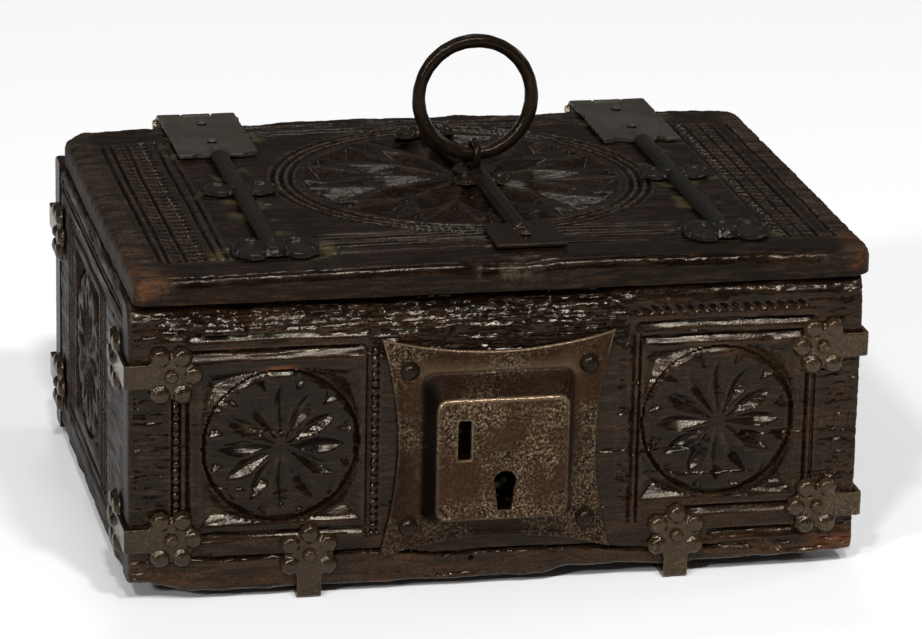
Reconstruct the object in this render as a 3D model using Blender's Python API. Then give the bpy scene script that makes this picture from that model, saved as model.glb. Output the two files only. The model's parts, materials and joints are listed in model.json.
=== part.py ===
"""Chip-carved wooden casket with forged iron mounts, a ring handle and a box lock."""
import math

import bmesh
import bpy
from mathutils import Matrix, Vector

# Driving dimensions, in metres

# Wooden case and lid
CASE_WIDTH = 0.260
CASE_DEPTH = 0.198
CASE_HEIGHT = 0.1055
FACE_BOARD = 0.014
SIDE_BOARD = 0.013
BOTTOM_BOARD = 0.010
LID_WIDER = 0.0028
LID_SHALLOWER = 0.002
LID_THICKNESS = 0.0108
LID_CROWN = 0.0016
LID_SHIFT_RIGHT = 0.0028
LID_SHIFT_FRONT = 0.0015
EDGE_WEAR = 0.0022

# Clearances
SEAT_GAP = 0.0003
RUN_GAP = 0.0003
HOLE_GAP = 0.0003

# Carved roundels
PETALS = 12
FACE_ROUNDEL_RADIUS = 0.0276
LEFT_ROUNDEL_INSET = 0.053
RIGHT_ROUNDEL_INSET = 0.0514
LEFT_ROUNDEL_DROP = 0.0521
RIGHT_ROUNDEL_DROP = 0.0507
END_ROUNDEL_RADIUS = 0.031
END_ROUNDEL_BACK = 0.009
END_ROUNDEL_DROP = 0.051
LID_ROUNDEL_RADIUS = 0.0688
LID_ROUNDEL_X = 0.0074
LID_ROUNDEL_Y = 0.0071
FACE_PETAL_DEPTH = 0.0021
FACE_CHIP_DEPTH = 0.0015
LID_PETAL_DEPTH = 0.0032
LID_CHIP_DEPTH = 0.0032
LID_RIM_DEPTH = 0.0017
SPANDREL_DEPTH = 0.0032

# Shares of a roundel's radius
PETAL_START = 0.05
PETAL_HALF = 0.092
FACE_PETAL_WIDEST = 0.525
FACE_PETAL_END = 0.77
FACE_CHIP_POINT = 0.72
FACE_CHIP_FOOT = 0.965
FACE_CHIP_HALF = 0.13
LID_PETAL_WIDEST = 0.39
LID_PETAL_END = 0.67
LID_CHIP_POINT = 0.44
LID_CHIP_FOOT = 0.845
LID_CHIP_HALF = 0.145
LID_RIM_POINT = 0.70
LID_RIM_FOOT = 0.84
LID_RIM_HALF = 0.05
SPANDREL_HALF = 1.03
SPANDREL_LOW = 1.09

# Shares of one chip's own length, width or depth
CHIP_LOW = 0.68
PETAL_SHOULDER = 0.6
PETAL_TAPER = 0.66
OVERCUT = 0.08

# Grooves of the lid and of the two ends
LID_RINGS = 2
LID_RING_STEP = 0.0032
LID_GROOVE_WIDTH = 0.0026
LID_GROOVE_DEPTH = 0.0016
LEFT_BAND_INSETS = (0.0098, 0.0128, 0.0188, 0.0298)
RIGHT_BAND_INSETS = (0.0096, 0.0162, 0.0212, 0.0262)
BAND_FRONT_INSET = 0.020
BAND_BACK_INSET = 0.025
FRONT_LINE_INSETS = (0.0268, 0.0338)
FRONT_LINE_SPANS = ((-0.060, -0.005), (0.026, 0.064))
LINE_WIDTH = 0.0019
LINE_DEPTH = 0.0013
REEDS = 4
REED_FIRST = 0.036
REED_STEP = 0.0045
REED_FOOT = 0.0205
REED_TOP = 0.088
REED_WIDTH = 0.0032
REED_DEPTH = 0.0015
END_LINE_HEIGHTS = (0.0132, 0.018, 0.0906)

# Straps and their flowers
STRAP_WIDTH = 0.009
STRAP_THICKNESS = 0.0018
BOTTOM_STRAP_THICKNESS = 0.0023
FLOWER_DISC = 0.0062
BOSS_RADIUS = 0.0041
BOSS_ORBIT = 0.0076
BOSS_HEIGHT = 0.0034
BOSS_STEP = 0.0002
FACE_FLOWER_REACH = 0.0145
END_FLOWER_REACH = 0.022
UPPER_STRAP_DROP = 0.0245
LOWER_STRAP_Z = 0.0215
BOTTOM_STRAP_LEFT_INSET = 0.063
BOTTOM_STRAP_RIGHT_INSET = 0.0655
BOTTOM_FLOWER_Z = 0.0135

# Hinges
HINGE_LEFT_INSET = 0.0545
HINGE_RIGHT_INSET = 0.0445
HINGE_WIDTH = 0.030
HINGE_THICKNESS = 0.0018
HINGE_PLATE_LENGTH = 0.0505
HINGE_PIN_RADIUS = 0.0017
HINGE_MIDDLE = 0.011
HINGE_LEAF_DROP = 0.046
PIN_HEAD = 0.0024
PIN_HEAD_LENGTH = 0.0012
PIN_HEAD_END = 0.0017
STEM_RADIUS = 0.0038
STEM_INSET = 0.0245
LEAF_Y = -0.001
LEAF_SPREAD = math.radians(98)
LEAF_ROOT = 0.46
LEAF_LENGTH = 0.015
LEAF_WIDTH = 0.0085
LEAF_HEIGHT = 0.0042
LOBE_INSET = 0.0235
LOBE_LENGTH = 0.017
LOBE_WIDTH = 0.0145
LOBE_HEIGHT = 0.0048
TIP_LENGTH = 0.012
TIP_WIDTH = 0.0084
TIP_HEIGHT = 0.0038
STEM_SINK = 0.0018
STEM_STEP = 0.0002
STEM_LIFT = 0.00015
HINGE_NAIL_REAR = 0.0082
HINGE_NAIL_FRONT = 0.0172
LEAF_NAIL_UPPER = 0.0115
LEAF_NAIL_LOWER = 0.030

# Centre strap, staple and ring
CENTRE_X = 0.0133
CENTRE_PLATE_WIDTH = 0.0255
CENTRE_PLATE_INSET = 0.0135
CENTRE_PLATE_LENGTH = 0.026
CENTRE_LEAF_Y = -0.004
CENTRE_LEAF_LENGTH = 0.012
CENTRE_LEAF_WIDTH = 0.0068
CENTRE_LEAF_HEIGHT = 0.0034
CENTRE_NAIL = 0.011
REAR_STEM_LENGTH = 0.054
REAR_STEM_SKEW = math.radians(9)
REAR_LEAF_LENGTH = 0.0128
EYE_Y = 0.0115
STAPLE_WIRE = 0.0017
STAPLE_LEG_GAP = 0.0005
STAPLE_CLINCH = 0.010
RING_OUTER = 0.0474
RING_WIRE = 0.00265
RING_LEAN = math.radians(3)
RING_STAND = 0.0052

# Lock
LOCK_X = -0.001
LOCK_DROP = 0.0547
LOCK_HALF_WIDTH = 0.0418
LOCK_HALF_HEIGHT = 0.0405
LOCK_CONCAVITY = 0.0062
LOCK_PLATE = 0.0015
LOCK_PROUD = 0.011
LOCK_WALL = 0.0016
LOCK_CASE_HALF = 0.0266
LOCK_CASE_LOW = 0.0270
LOCK_CASE_HIGH = 0.0262
LOCK_FACE_HALF = 0.0234
LOCK_FACE_LOW = 0.0244
LOCK_FACE_HIGH = 0.0199
LOCK_CORNER = 0.004
SLOT_X = -0.0136
SLOT_Z = 0.0050
SLOT_WIDTH = 0.0046
SLOT_HEIGHT = 0.0142
KEY_X = 0.001
KEY_Z = -0.0108
KEY_HEAD_RADIUS = 0.0040
KEY_FOOT_WIDTH = 0.0050
KEY_FOOT_DROP = 0.0105
KEY_PIN_RADIUS = 0.0015
KEY_PIN_COLLAR = 0.0027
BOLT_HEIGHT = 0.006
BOLT_THICKNESS = 0.003
BOLT_TRAVEL = 0.010
BOLT_NOTCH = 0.004
BOLT_NOTCH_DEPTH = 0.002
BOLT_NOSE = 0.001
GUIDE_WIDTH = 0.0035
GUIDE_METAL = 0.0014
GUIDE_LEFT_X = -0.0065
GUIDE_RIGHT_X = 0.0092
SPRING_METAL = 0.0008
SPRING_LENGTH = 0.0115

# Nails
NAIL_SHANK = 0.0022
NAIL_GRIP = 0.009
LID_NAIL_GRIP = 0.0055
NAIL_TIP = 0.002
DOME_SHOULDER = math.radians(48)
DOME_WALL = 0.25
FLOWER_NAIL_HEAD = 0.0026
FLOWER_NAIL_RISE = 0.0018
LOCK_NAIL_HEAD = 0.0031
LOCK_NAIL_RISE = 0.0026
PLATE_NAIL_HEAD = 0.0023
PLATE_NAIL_RISE = 0.0013
LOCK_NAIL_X = 0.0317
LOCK_NAIL_Z = 0.0284

# Facet counts
ROUND = 8
NAIL_STEPS = 7
BARREL_STEPS = 8
LEAF_STEPS = 9
DISC_STEPS = 8
CORNER_STEPS = 3
WIRE_STEPS = 2
RING_STEPS = 24
CIRCLE = 24
CROWN_STEPS = 6
CURVE_STEPS = 6

# Derived places, in a frame whose origin is on the ground under the middle of the case
case_base = BOTTOM_STRAP_THICKNESS + SEAT_GAP
case_top = case_base + CASE_HEIGHT
front_y = -CASE_DEPTH / 2
back_y = CASE_DEPTH / 2
left_roundel = (LEFT_ROUNDEL_INSET - CASE_WIDTH / 2, CASE_HEIGHT - LEFT_ROUNDEL_DROP)
right_roundel = (CASE_WIDTH / 2 - RIGHT_ROUNDEL_INSET, CASE_HEIGHT - RIGHT_ROUNDEL_DROP)
end_roundel_z = CASE_HEIGHT - END_ROUNDEL_DROP
upper_strap_z = CASE_HEIGHT - UPPER_STRAP_DROP
bottom_strap_left = BOTTOM_STRAP_LEFT_INSET - CASE_WIDTH / 2
bottom_strap_right = CASE_WIDTH / 2 - BOTTOM_STRAP_RIGHT_INSET
lock_z = CASE_HEIGHT - LOCK_DROP
lid_width = CASE_WIDTH + LID_WIDER
lid_depth = CASE_DEPTH - LID_SHALLOWER
lid_bottom = case_top + SEAT_GAP
lid_y = -LID_SHIFT_FRONT
lid_front_y = lid_y - lid_depth / 2
lid_back_y = lid_y + lid_depth / 2
hinge_left = HINGE_LEFT_INSET - CASE_WIDTH / 2
hinge_right = CASE_WIDTH / 2 - HINGE_RIGHT_INSET
hinge_plate_front = lid_back_y - HINGE_PLATE_LENGTH
stem_end = lid_front_y + STEM_INSET
lobe_y = lid_front_y + LOBE_INSET
centre_plate_front = lid_front_y + CENTRE_PLATE_INSET
centre_plate_back = centre_plate_front + CENTRE_PLATE_LENGTH
knuckle_bore = HINGE_PIN_RADIUS + RUN_GAP
knuckle_radius = knuckle_bore + HINGE_THICKNESS


def crown(x):
    """Thickness of the lid at a distance x from its middle."""
    return LID_THICKNESS - LID_CROWN * (2 * x / lid_width) ** 2


# The two hinge straps share one flat seat height so that their pins share one axis
hinge_band = max(HINGE_WIDTH / 2, LEAF_LENGTH, LOBE_LENGTH) + SEAT_GAP
hinge_far = max(hinge_right - LID_SHIFT_RIGHT, LID_SHIFT_RIGHT - hinge_left) + hinge_band
hinge_seat = lid_bottom + crown(hinge_far) - SEAT_GAP
hinge_base = hinge_seat + SEAT_GAP
hinge_y = max(back_y, lid_back_y) + SEAT_GAP + knuckle_radius
hinge_z = hinge_base - knuckle_bore
centre_base = lid_bottom + LID_THICKNESS + SEAT_GAP
eye_radius = RING_WIRE + RUN_GAP + STAPLE_WIRE
ring_axis_z = centre_base + HINGE_THICKNESS + RING_STAND
ring_radius = RING_OUTER / 2 - RING_WIRE
lock_depth = LOCK_PROUD - LOCK_WALL

# The middle of the whole reach from the lock face to the hinge barrels is the origin
front_reach = CASE_DEPTH / 2 + SEAT_GAP + LOCK_PROUD
back_reach = hinge_y + knuckle_radius
shift_y = (front_reach - back_reach) / 2


def material(name, colour, roughness, metallic):
    """A plain surface with the colour, roughness and metallic value of one stuff."""
    stuff = bpy.data.materials.new(name)
    stuff.use_nodes = True
    shader = stuff.node_tree.nodes["Principled BSDF"]
    shader.inputs["Base Color"].default_value = (*colour, 1.0)
    shader.inputs["Roughness"].default_value = roughness
    shader.inputs["Metallic"].default_value = metallic
    stuff.diffuse_color = (*colour, 1.0)
    return stuff


def carrier(name, parent, place):
    """An empty that carries pieces, placed in the casket's frame."""
    empty = bpy.data.objects.new(name, None)
    bpy.context.scene.collection.objects.link(empty)
    put(empty, parent, place)
    return empty, place


def put(piece, parent, place):
    """Parent a piece to a carrier so that it stands at a place of the casket's frame."""
    empty, stand = parent
    piece.parent = empty
    piece.matrix_basis = stand.inverted() @ place


def mesh_object(bm, name="shape"):
    """A scene object made from a bmesh, which is freed."""
    bmesh.ops.recalc_face_normals(bm, faces=bm.faces)
    mesh = bpy.data.meshes.new(name)
    bm.to_mesh(mesh)
    bm.free()
    shape = bpy.data.objects.new(name, mesh)
    bpy.context.scene.collection.objects.link(shape)
    return shape


def boolean(target, tool, operation):
    """Apply one exact Boolean to the target's mesh and remove the tool."""
    modifier = target.modifiers.new("cut", "BOOLEAN")
    modifier.operation = operation
    modifier.solver = "EXACT"
    modifier.object = tool
    graph = bpy.context.evaluated_depsgraph_get()
    result = bpy.data.meshes.new_from_object(target.evaluated_get(graph))
    target.modifiers.clear()
    target.data = result
    bpy.data.objects.remove(tool, do_unlink=True)
    return target


def fuse(shapes):
    first = shapes[0]
    for other in shapes[1:]:
        boolean(first, other, "UNION")
    return first


def cut(target, tools):
    for tool in tools:
        boolean(target, tool, "DIFFERENCE")
    return target


def finish(shape, name, parent, place, stuff, smooth_angle=math.radians(35)):
    """Name a finished shape, place it on its parent and give it its material."""
    shape.name = name
    shape.data.materials.clear()
    shape.data.materials.append(stuff)
    shape.data.shade_smooth()
    shape.data.set_sharp_from_angle(angle=smooth_angle)
    put(shape, parent, place)
    return shape


def copy_of(shape):
    """Another object that shares a pattern's mesh."""
    twin = bpy.data.objects.new("copy", shape.data)
    bpy.context.scene.collection.objects.link(twin)
    return twin


def add_prism(bm, outline, low, high):
    """Extrude an outline in the u v plane between two heights w."""
    bottom = [bm.verts.new((u, v, low)) for u, v in outline]
    top = [bm.verts.new((u, v, high)) for u, v in outline]
    bm.faces.new(list(reversed(bottom)))
    bm.faces.new(top)
    count = len(outline)
    for index in range(count):
        after = (index + 1) % count
        bm.faces.new((bottom[index], bottom[after], top[after], top[index]))


def prism(outline, low, high):
    bm = bmesh.new()
    add_prism(bm, outline, low, high)
    return mesh_object(bm)


def rectangle(u_low, u_high, v_low, v_high):
    return [(u_low, v_low), (u_high, v_low), (u_high, v_high), (u_low, v_high)]


def square(u, v, side):
    return rectangle(u - side / 2, u + side / 2, v - side / 2, v + side / 2)


def box(low, high):
    return prism(rectangle(low[0], high[0], low[1], high[1]), low[2], high[2])


def arc(centre, radius, start, end, steps):
    """Points of a circular arc, both ends included."""
    points = []
    for step in range(steps + 1):
        angle = start + (end - start) * step / steps
        points.append((centre[0] + radius * math.cos(angle), centre[1] + radius * math.sin(angle)))
    return points


def circle(centre, radius, steps):
    return arc(centre, radius, 0, 2 * math.pi * (1 - 1 / steps), steps - 1)


def turned(profile, steps):
    """Turn a profile of radius and height about w; it starts and ends on the axis."""
    bm = bmesh.new()
    rings = []
    for radius, height in profile[1:-1]:
        ring = []
        for step in range(steps):
            angle = 2 * math.pi * step / steps
            ring.append(bm.verts.new((radius * math.cos(angle), radius * math.sin(angle), height)))
        rings.append(ring)
    low = bm.verts.new((0, 0, profile[0][1]))
    high = bm.verts.new((0, 0, profile[-1][1]))
    for step in range(steps):
        after = (step + 1) % steps
        bm.faces.new((low, rings[0][after], rings[0][step]))
        bm.faces.new((high, rings[-1][step], rings[-1][after]))
        for lower, upper in zip(rings, rings[1:]):
            bm.faces.new((lower[step], lower[after], upper[after], upper[step]))
    return mesh_object(bm)


def moved(shape, matrix):
    shape.data.transform(matrix)
    return shape


def shifted(shape, u, v, w):
    return moved(shape, Matrix.Translation((u, v, w)))


def dome(radius, rise, sink, steps=ROUND):
    """A rounded boss whose rim stands at w = 0 and whose root sinks below it."""
    wall = rise * DOME_WALL
    shoulder = wall + (rise - wall) * math.sin(DOME_SHOULDER)
    profile = [(0, -sink), (radius, -sink), (radius, wall)]
    profile += [(radius * math.cos(DOME_SHOULDER), shoulder), (0, rise)]
    return turned(profile, steps)


def lobe(centre, heading, length, width, rise, sink):
    """A leaf: a long dome whose length runs along a heading in the u v plane."""
    shape = dome(1.0, rise, sink, steps=LEAF_STEPS)
    stretch = Matrix.Diagonal((length / 2, width / 2, 1.0, 1.0))
    turn = Matrix.Rotation(heading, 4, "Z")
    return moved(shape, Matrix.Translation((*centre, 0)) @ turn @ stretch)


def half_round(start, end, radius, sink):
    """A half-round bar lying on w = 0 between two points."""
    run = Vector((end[0] - start[0], end[1] - start[1]))
    section = [(-radius, -sink), (radius, -sink)] + arc((0, 0), radius, 0, math.pi, CURVE_STEPS)
    bar = prism(section, 0, run.length)
    heading = math.atan2(run.y, run.x)
    along = Matrix(((0, 0, 1, 0), (1, 0, 0, 0), (0, 1, 0, 0), (0, 0, 0, 1)))
    return moved(bar, Matrix.Translation((*start, 0)) @ Matrix.Rotation(heading, 4, "Z") @ along)


def frame(origin, u_axis, v_axis):
    """A matrix that takes u, v and the outward w to the casket's frame."""
    u_axis = Vector(u_axis)
    v_axis = Vector(v_axis)
    w_axis = u_axis.cross(v_axis)
    turn = Matrix((u_axis, v_axis, w_axis)).transposed().to_4x4()
    return Matrix.Translation(origin) @ turn


def rolled_leaf(length, bore, metal):
    """Side outline of a strap whose end is rolled round a pin; the pin is the origin."""
    outer = bore + metal
    slit = math.asin((bore - RUN_GAP) / outer)
    start = math.pi / 2
    end = -math.pi - slit
    inside = arc((0, 0), bore, start, end, 2 * BARREL_STEPS)
    outside = arc((0, 0), outer, end, start, 2 * BARREL_STEPS)
    return [(-length, bore)] + inside + outside + [(-length, outer)]


def level_face(u):
    """Height of a flat board's outer face."""
    return 0


def chip_cut(bm, outline, low, depth, surface):
    """Cutter for one chip whose floor slopes from its outline down to a low point."""
    grow = 1 + OVERCUT
    top = []
    for corner in outline:
        u, v = (foot + (edge - foot) * grow for foot, edge in zip(low, corner))
        top.append(bm.verts.new((u, v, surface(u) + depth * OVERCUT)))
    bottom = bm.verts.new((*low, surface(low[0]) - depth))
    bm.faces.new(top)
    for first, second in zip(top, top[1:] + top[:1]):
        bm.faces.new((second, first, bottom))


def petal_cut(bm, centre, angle, reaches, half, depth, surface):
    """Cutter for one leaf-shaped chip with a floor that slopes to a spine from either side."""
    start, widest, end = reaches
    shoulder = widest + PETAL_SHOULDER * (end - widest)
    grow = 1 + OVERCUT
    cos, sin = math.cos(angle), math.sin(angle)

    def spot(along, across, height):
        u = centre[0] + along * cos - across * sin
        v = centre[1] + along * sin + across * cos
        return bm.verts.new((u, v, surface(u) + height))

    over = depth * OVERCUT
    tip_in = spot(start - OVERCUT * (widest - start), 0, over)
    tip_out = spot(end + OVERCUT * (end - shoulder), 0, over)
    low_in = spot(widest, 0, -depth)
    low_out = spot(shoulder, 0, -depth * PETAL_TAPER)
    sides = []
    for side in (1, -1):
        near = spot(widest, side * half * grow, over)
        far = spot(shoulder, side * half * grow * PETAL_TAPER, over)
        sides.append((near, far))
    (near_l, far_l), (near_r, far_r) = sides
    bm.faces.new((tip_in, near_l, far_l, tip_out, far_r, near_r))
    bm.faces.new((tip_in, low_in, near_l))
    bm.faces.new((near_l, low_in, low_out, far_l))
    bm.faces.new((far_l, low_out, tip_out))
    bm.faces.new((tip_in, near_r, low_in))
    bm.faces.new((near_r, far_r, low_out, low_in))
    bm.faces.new((far_r, tip_out, low_out))


def chip_ring(bm, centre, radius, turn, chip, surface):
    """Cutters for a ring of three-sided chips that point in, as many as petals."""
    point, foot, half, depth = chip
    low = point + CHIP_LOW * (foot - point)
    for step in range(PETALS):
        angle = turn + 2 * math.pi * step / PETALS
        cos, sin = math.cos(angle), math.sin(angle)
        places = []
        for along, across in ((low, 0), (point, 0), (foot, -half), (foot, half)):
            u = centre[0] + radius * (along * cos - across * sin)
            v = centre[1] + radius * (along * sin + across * cos)
            places.append((u, v))
        chip_cut(bm, places[1:], places[0], depth, surface)


def rosette(bm, centre, radius, petal, chip, surface):
    """Cutters for a ring of petals and the three-sided chips that point in between their tips."""
    widest, end, depth = petal
    reaches = (PETAL_START * radius, widest * radius, end * radius)
    for step in range(PETALS):
        angle = 2 * math.pi * step / PETALS
        petal_cut(bm, centre, angle, reaches, PETAL_HALF * radius, depth, surface)
    chip_ring(bm, centre, radius, math.pi / PETALS, chip, surface)


def groove_cut(bm, start, end, width, depth, surface):
    """Cutter for a straight groove with sloping sides and ends between two places."""
    start, end = Vector(start), Vector(end)
    along = (end - start).normalized()
    across = Vector((-along.y, along.x)) * width / 2 * (1 + OVERCUT)
    inward = along * width / 2

    def spot(place, height):
        return bm.verts.new((place.x, place.y, surface(place.x) + height))

    over = depth * OVERCUT
    left = [spot(place + across, over) for place in (start, end)]
    right = [spot(place - across, over) for place in (start, end)]
    low = [spot(place, -depth) for place in (start + inward, end - inward)]
    bm.faces.new((left[0], right[0], right[1], left[1]))
    bm.faces.new((left[0], left[1], low[1], low[0]))
    bm.faces.new((right[1], right[0], low[0], low[1]))
    bm.faces.new((right[0], left[0], low[0]))
    bm.faces.new((left[1], right[1], low[1]))


def ring_groove(bm, centre, radius, surface):
    """Cutter for a round groove with two sloping sides."""
    half = LID_GROOVE_WIDTH / 2 * (1 + OVERCUT)
    loops = []
    over = LID_GROOVE_DEPTH * OVERCUT
    for reach, height in ((-half, over), (half, over), (0, -LID_GROOVE_DEPTH)):
        points = circle(centre, radius + reach, CIRCLE)
        loops.append([bm.verts.new((u, v, surface(u) + height)) for u, v in points])
    for first, second in ((0, 1), (1, 2), (2, 0)):
        for step in range(CIRCLE):
            after = (step + 1) % CIRCLE
            corners = (loops[first][step], loops[first][after], loops[second][after], loops[second][step])
            bm.faces.new(corners)


def spandrels(bm, centre, radius):
    """Cutters for the four corner chips between a roundel and its square field."""
    half = SPANDREL_HALF * radius
    near = math.sqrt(2) * radius - half
    low = SPANDREL_LOW * radius / math.sqrt(2)
    for sign_u, sign_v in ((1, 1), (-1, 1), (-1, -1), (1, -1)):
        places = []
        for u, v in ((low, low), (half, half), (near, half), (half, near)):
            places.append((centre[0] + sign_u * u, centre[1] + sign_v * v))
        chip_cut(bm, places[1:], places[0], SPANDREL_DEPTH, level_face)


def board(width, height, thickness):
    """A board standing on v = 0 with its outer face at w = 0 and worn outer edges."""
    shape = box((-width / 2, 0, -thickness), (width / 2, height, 0))
    bm = bmesh.new()
    bm.from_mesh(shape.data)
    near = EDGE_WEAR / 10
    worn = [edge for edge in bm.edges if all(abs(vert.co.z) < near for vert in edge.verts)]
    worn = [edge for edge in worn if abs(edge.verts[0].co.y - edge.verts[1].co.y) < near]
    bmesh.ops.bevel(bm, geom=worn, offset=EDGE_WEAR, segments=2, profile=0.5, affect="EDGES")
    bm.to_mesh(shape.data)
    bm.free()
    return shape


def nail(head, rise, reach):
    """A wrought nail: domed head on w = 0 and a tapered square shank below it."""
    cap = dome(head, rise, 0, steps=NAIL_STEPS)
    bm = bmesh.new()
    half = NAIL_SHANK / 2
    rows = []
    for size, height in ((half, rise / 3), (half, NAIL_TIP - reach), (half / 3, -reach)):
        corners = ((-size, -size), (size, -size), (size, size), (-size, size))
        rows.append([bm.verts.new((u, v, height)) for u, v in corners])
    bm.faces.new(rows[0])
    bm.faces.new(list(reversed(rows[-1])))
    for upper, lower in zip(rows, rows[1:]):
        for side in range(4):
            after = (side + 1) % 4
            bm.faces.new((lower[side], lower[after], upper[after], upper[side]))
    return fuse([cap, mesh_object(bm)])


def nail_reach(metal, grip):
    """Length of a nail under its head: through the metal and into the wood."""
    return SEAT_GAP + metal + SEAT_GAP + grip


def nail_hole(u, v, low, high):
    return prism(square(u, v, NAIL_SHANK + 2 * HOLE_GAP), low, high)


def nail_pockets(places, surface, grip):
    """Cutter for the pockets of the nails driven into a surface at w = surface."""
    bm = bmesh.new()
    for u, v in places:
        add_prism(bm, square(u, v, NAIL_SHANK + 2 * HOLE_GAP), surface - grip - HOLE_GAP, surface + grip)
    return mesh_object(bm)


def flower(centre, neck, fixed_nail):
    """Solids of a strap end: five bosses round a disc, with the sixth place left to the neck."""
    shapes = [prism(circle(centre, FLOWER_DISC, DISC_STEPS), -STRAP_THICKNESS / 2, STRAP_THICKNESS)]
    for petal in range(1, 6):
        angle = neck + petal * math.pi / 3
        boss = dome(BOSS_RADIUS, BOSS_HEIGHT, STRAP_THICKNESS + petal * BOSS_STEP)
        boss = moved(boss, Matrix.Rotation(angle, 4, "Z"))
        u = centre[0] + BOSS_ORBIT * math.cos(angle)
        v = centre[1] + BOSS_ORBIT * math.sin(angle)
        shapes.append(shifted(boss, u, v, 0))
    if fixed_nail:
        head = dome(FLOWER_NAIL_HEAD, FLOWER_NAIL_RISE + SEAT_GAP, STRAP_THICKNESS / 3)
        shapes.append(shifted(head, *centre, STRAP_THICKNESS))
    return shapes


def flower_on(place, centre, neck, fixed_nail):
    return [moved(shape, place) for shape in flower(centre, neck, fixed_nail)]


def corner_strap(first_reach, second_reach, first_nail):
    """A strap bent round an upright corner: first leg along x, second leg along y, open inside."""
    out = SEAT_GAP + STRAP_THICKNESS
    inner = SEAT_GAP / 2
    half = STRAP_WIDTH / 2
    bend = STRAP_THICKNESS / 2
    outline = [(bend - out, -out), (first_reach, -out), (first_reach, inner), (inner, inner)]
    outline += [(inner, second_reach), (-out, second_reach), (-out, bend - out)]
    shapes = [prism(outline, -half, half)]
    first = frame((0, -SEAT_GAP, 0), (1, 0, 0), (0, 0, 1))
    second = frame((-SEAT_GAP, 0, 0), (0, -1, 0), (0, 0, 1))
    shapes += flower_on(first, (first_reach, 0), math.pi, not first_nail)
    shapes += flower_on(second, (-second_reach, 0), 0, first_nail)
    strap = fuse(shapes)
    span = first_reach + second_reach
    tools = [box((-SEAT_GAP, -SEAT_GAP, -span), (span, span, span))]
    if first_nail:
        tools.append(moved(nail_hole(first_reach, 0, -span, span), first))
    else:
        tools.append(moved(nail_hole(-second_reach, 0, -span, span), second))
    return cut(strap, tools)


def bottom_strap():
    """A strap that runs under the case and ends in a flower on the front and on the back."""
    side_out = CASE_DEPTH / 2 + SEAT_GAP + STRAP_THICKNESS
    side_in = CASE_DEPTH / 2 + SEAT_GAP / 2
    top = case_base + BOTTOM_FLOWER_Z
    bend = BOTTOM_STRAP_THICKNESS / 2
    outline = [(bend - side_out, 0), (side_out - bend, 0), (side_out, bend), (side_out, top), (side_in, top)]
    outline += [(side_in, case_base), (-side_in, case_base), (-side_in, top)]
    outline += [(-side_out, top), (-side_out, bend)]
    bar = prism(outline, -STRAP_WIDTH / 2, STRAP_WIDTH / 2)
    shapes = [moved(bar, frame((0, 0, 0), (0, 1, 0), (0, 0, 1)))]
    front = frame((0, front_y - SEAT_GAP, top), (1, 0, 0), (0, 0, 1))
    back = frame((0, back_y + SEAT_GAP, top), (-1, 0, 0), (0, 0, 1))
    for place in (front, back):
        shapes += flower_on(place, (0, 0), -math.pi / 2, False)
    strap = fuse(shapes)
    reach = CASE_DEPTH / 2 + SEAT_GAP
    width = STRAP_WIDTH + 4 * BOSS_ORBIT
    tools = [box((-width, -reach, case_base - SEAT_GAP), (width, reach, case_top))]
    tools += [moved(nail_hole(0, 0, -NAIL_GRIP, NAIL_GRIP), place) for place in (front, back)]
    return cut(strap, tools)


def forged_stem(points, leaves, tips):
    """A half-round stem with paired leaves and rounded tips, flat underneath; roots sink unequally."""
    shapes = []
    sink = STEM_SINK
    for start, end in zip(points, points[1:]):
        sink += STEM_STEP
        shapes.append(half_round(start, end, STEM_RADIUS, sink))
    for (u, v), heading, length, width, rise in leaves:
        for side in (1, -1):
            sink += STEM_STEP
            turn = heading + side * LEAF_SPREAD
            centre = (u + math.cos(turn) * length * LEAF_ROOT, v + math.sin(turn) * length * LEAF_ROOT)
            shapes.append(lobe(centre, turn, length, width, rise, sink))
    for centre, heading in tips:
        sink += STEM_STEP
        shapes.append(lobe(centre, heading, TIP_LENGTH, TIP_WIDTH, TIP_HEIGHT, sink))
    reach = CASE_DEPTH + CASE_WIDTH
    return cut(fuse(shapes), [box((-reach, -reach, -reach), (reach, reach, STEM_LIFT))])


def hinge_strap():
    """Lid half of a hinge; u runs across, v to the back and w = 0 is the pin's height."""
    length = hinge_y - hinge_plate_front
    leaf = prism(rolled_leaf(length, knuckle_bore, HINGE_THICKNESS), -HINGE_WIDTH / 2, HINGE_WIDTH / 2)
    moved(leaf, frame((0, 0, 0), (0, 1, 0), (0, 0, 1)))
    middle = HINGE_MIDDLE / 2 + RUN_GAP
    reach = knuckle_radius + RUN_GAP
    notch = box((-middle, -reach, -2 * reach), (middle, 2 * reach, 2 * reach))
    leaf = cut(leaf, [notch])
    overlap = hinge_plate_front + STEM_RADIUS * 2
    leaf_pair = ((0, LEAF_Y), -math.pi / 2, LEAF_LENGTH, LEAF_WIDTH, LEAF_HEIGHT)
    lobe_pair = ((0, lobe_y), -math.pi / 2, LOBE_LENGTH, LOBE_WIDTH, LOBE_HEIGHT)
    tip = ((0, lobe_y), -math.pi / 2)
    stem = forged_stem([(0, overlap), (0, stem_end)], [leaf_pair, lobe_pair], [tip])
    shifted(stem, 0, -hinge_y, knuckle_bore)
    strap = fuse([leaf, stem])
    return cut(strap, [nail_hole(0, v - hinge_y, 0, 2 * knuckle_radius) for v in hinge_nail_places()])


def hinge_nail_places():
    """Distances to the back of the two nails in a hinge plate."""
    return [lid_back_y - HINGE_NAIL_REAR, hinge_plate_front + HINGE_NAIL_FRONT]


def leaf_nail_heights():
    """Heights below the pin of the two nails in a back leaf."""
    return [hinge_z - case_top + depth for depth in (LEAF_NAIL_UPPER, LEAF_NAIL_LOWER)]


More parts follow.
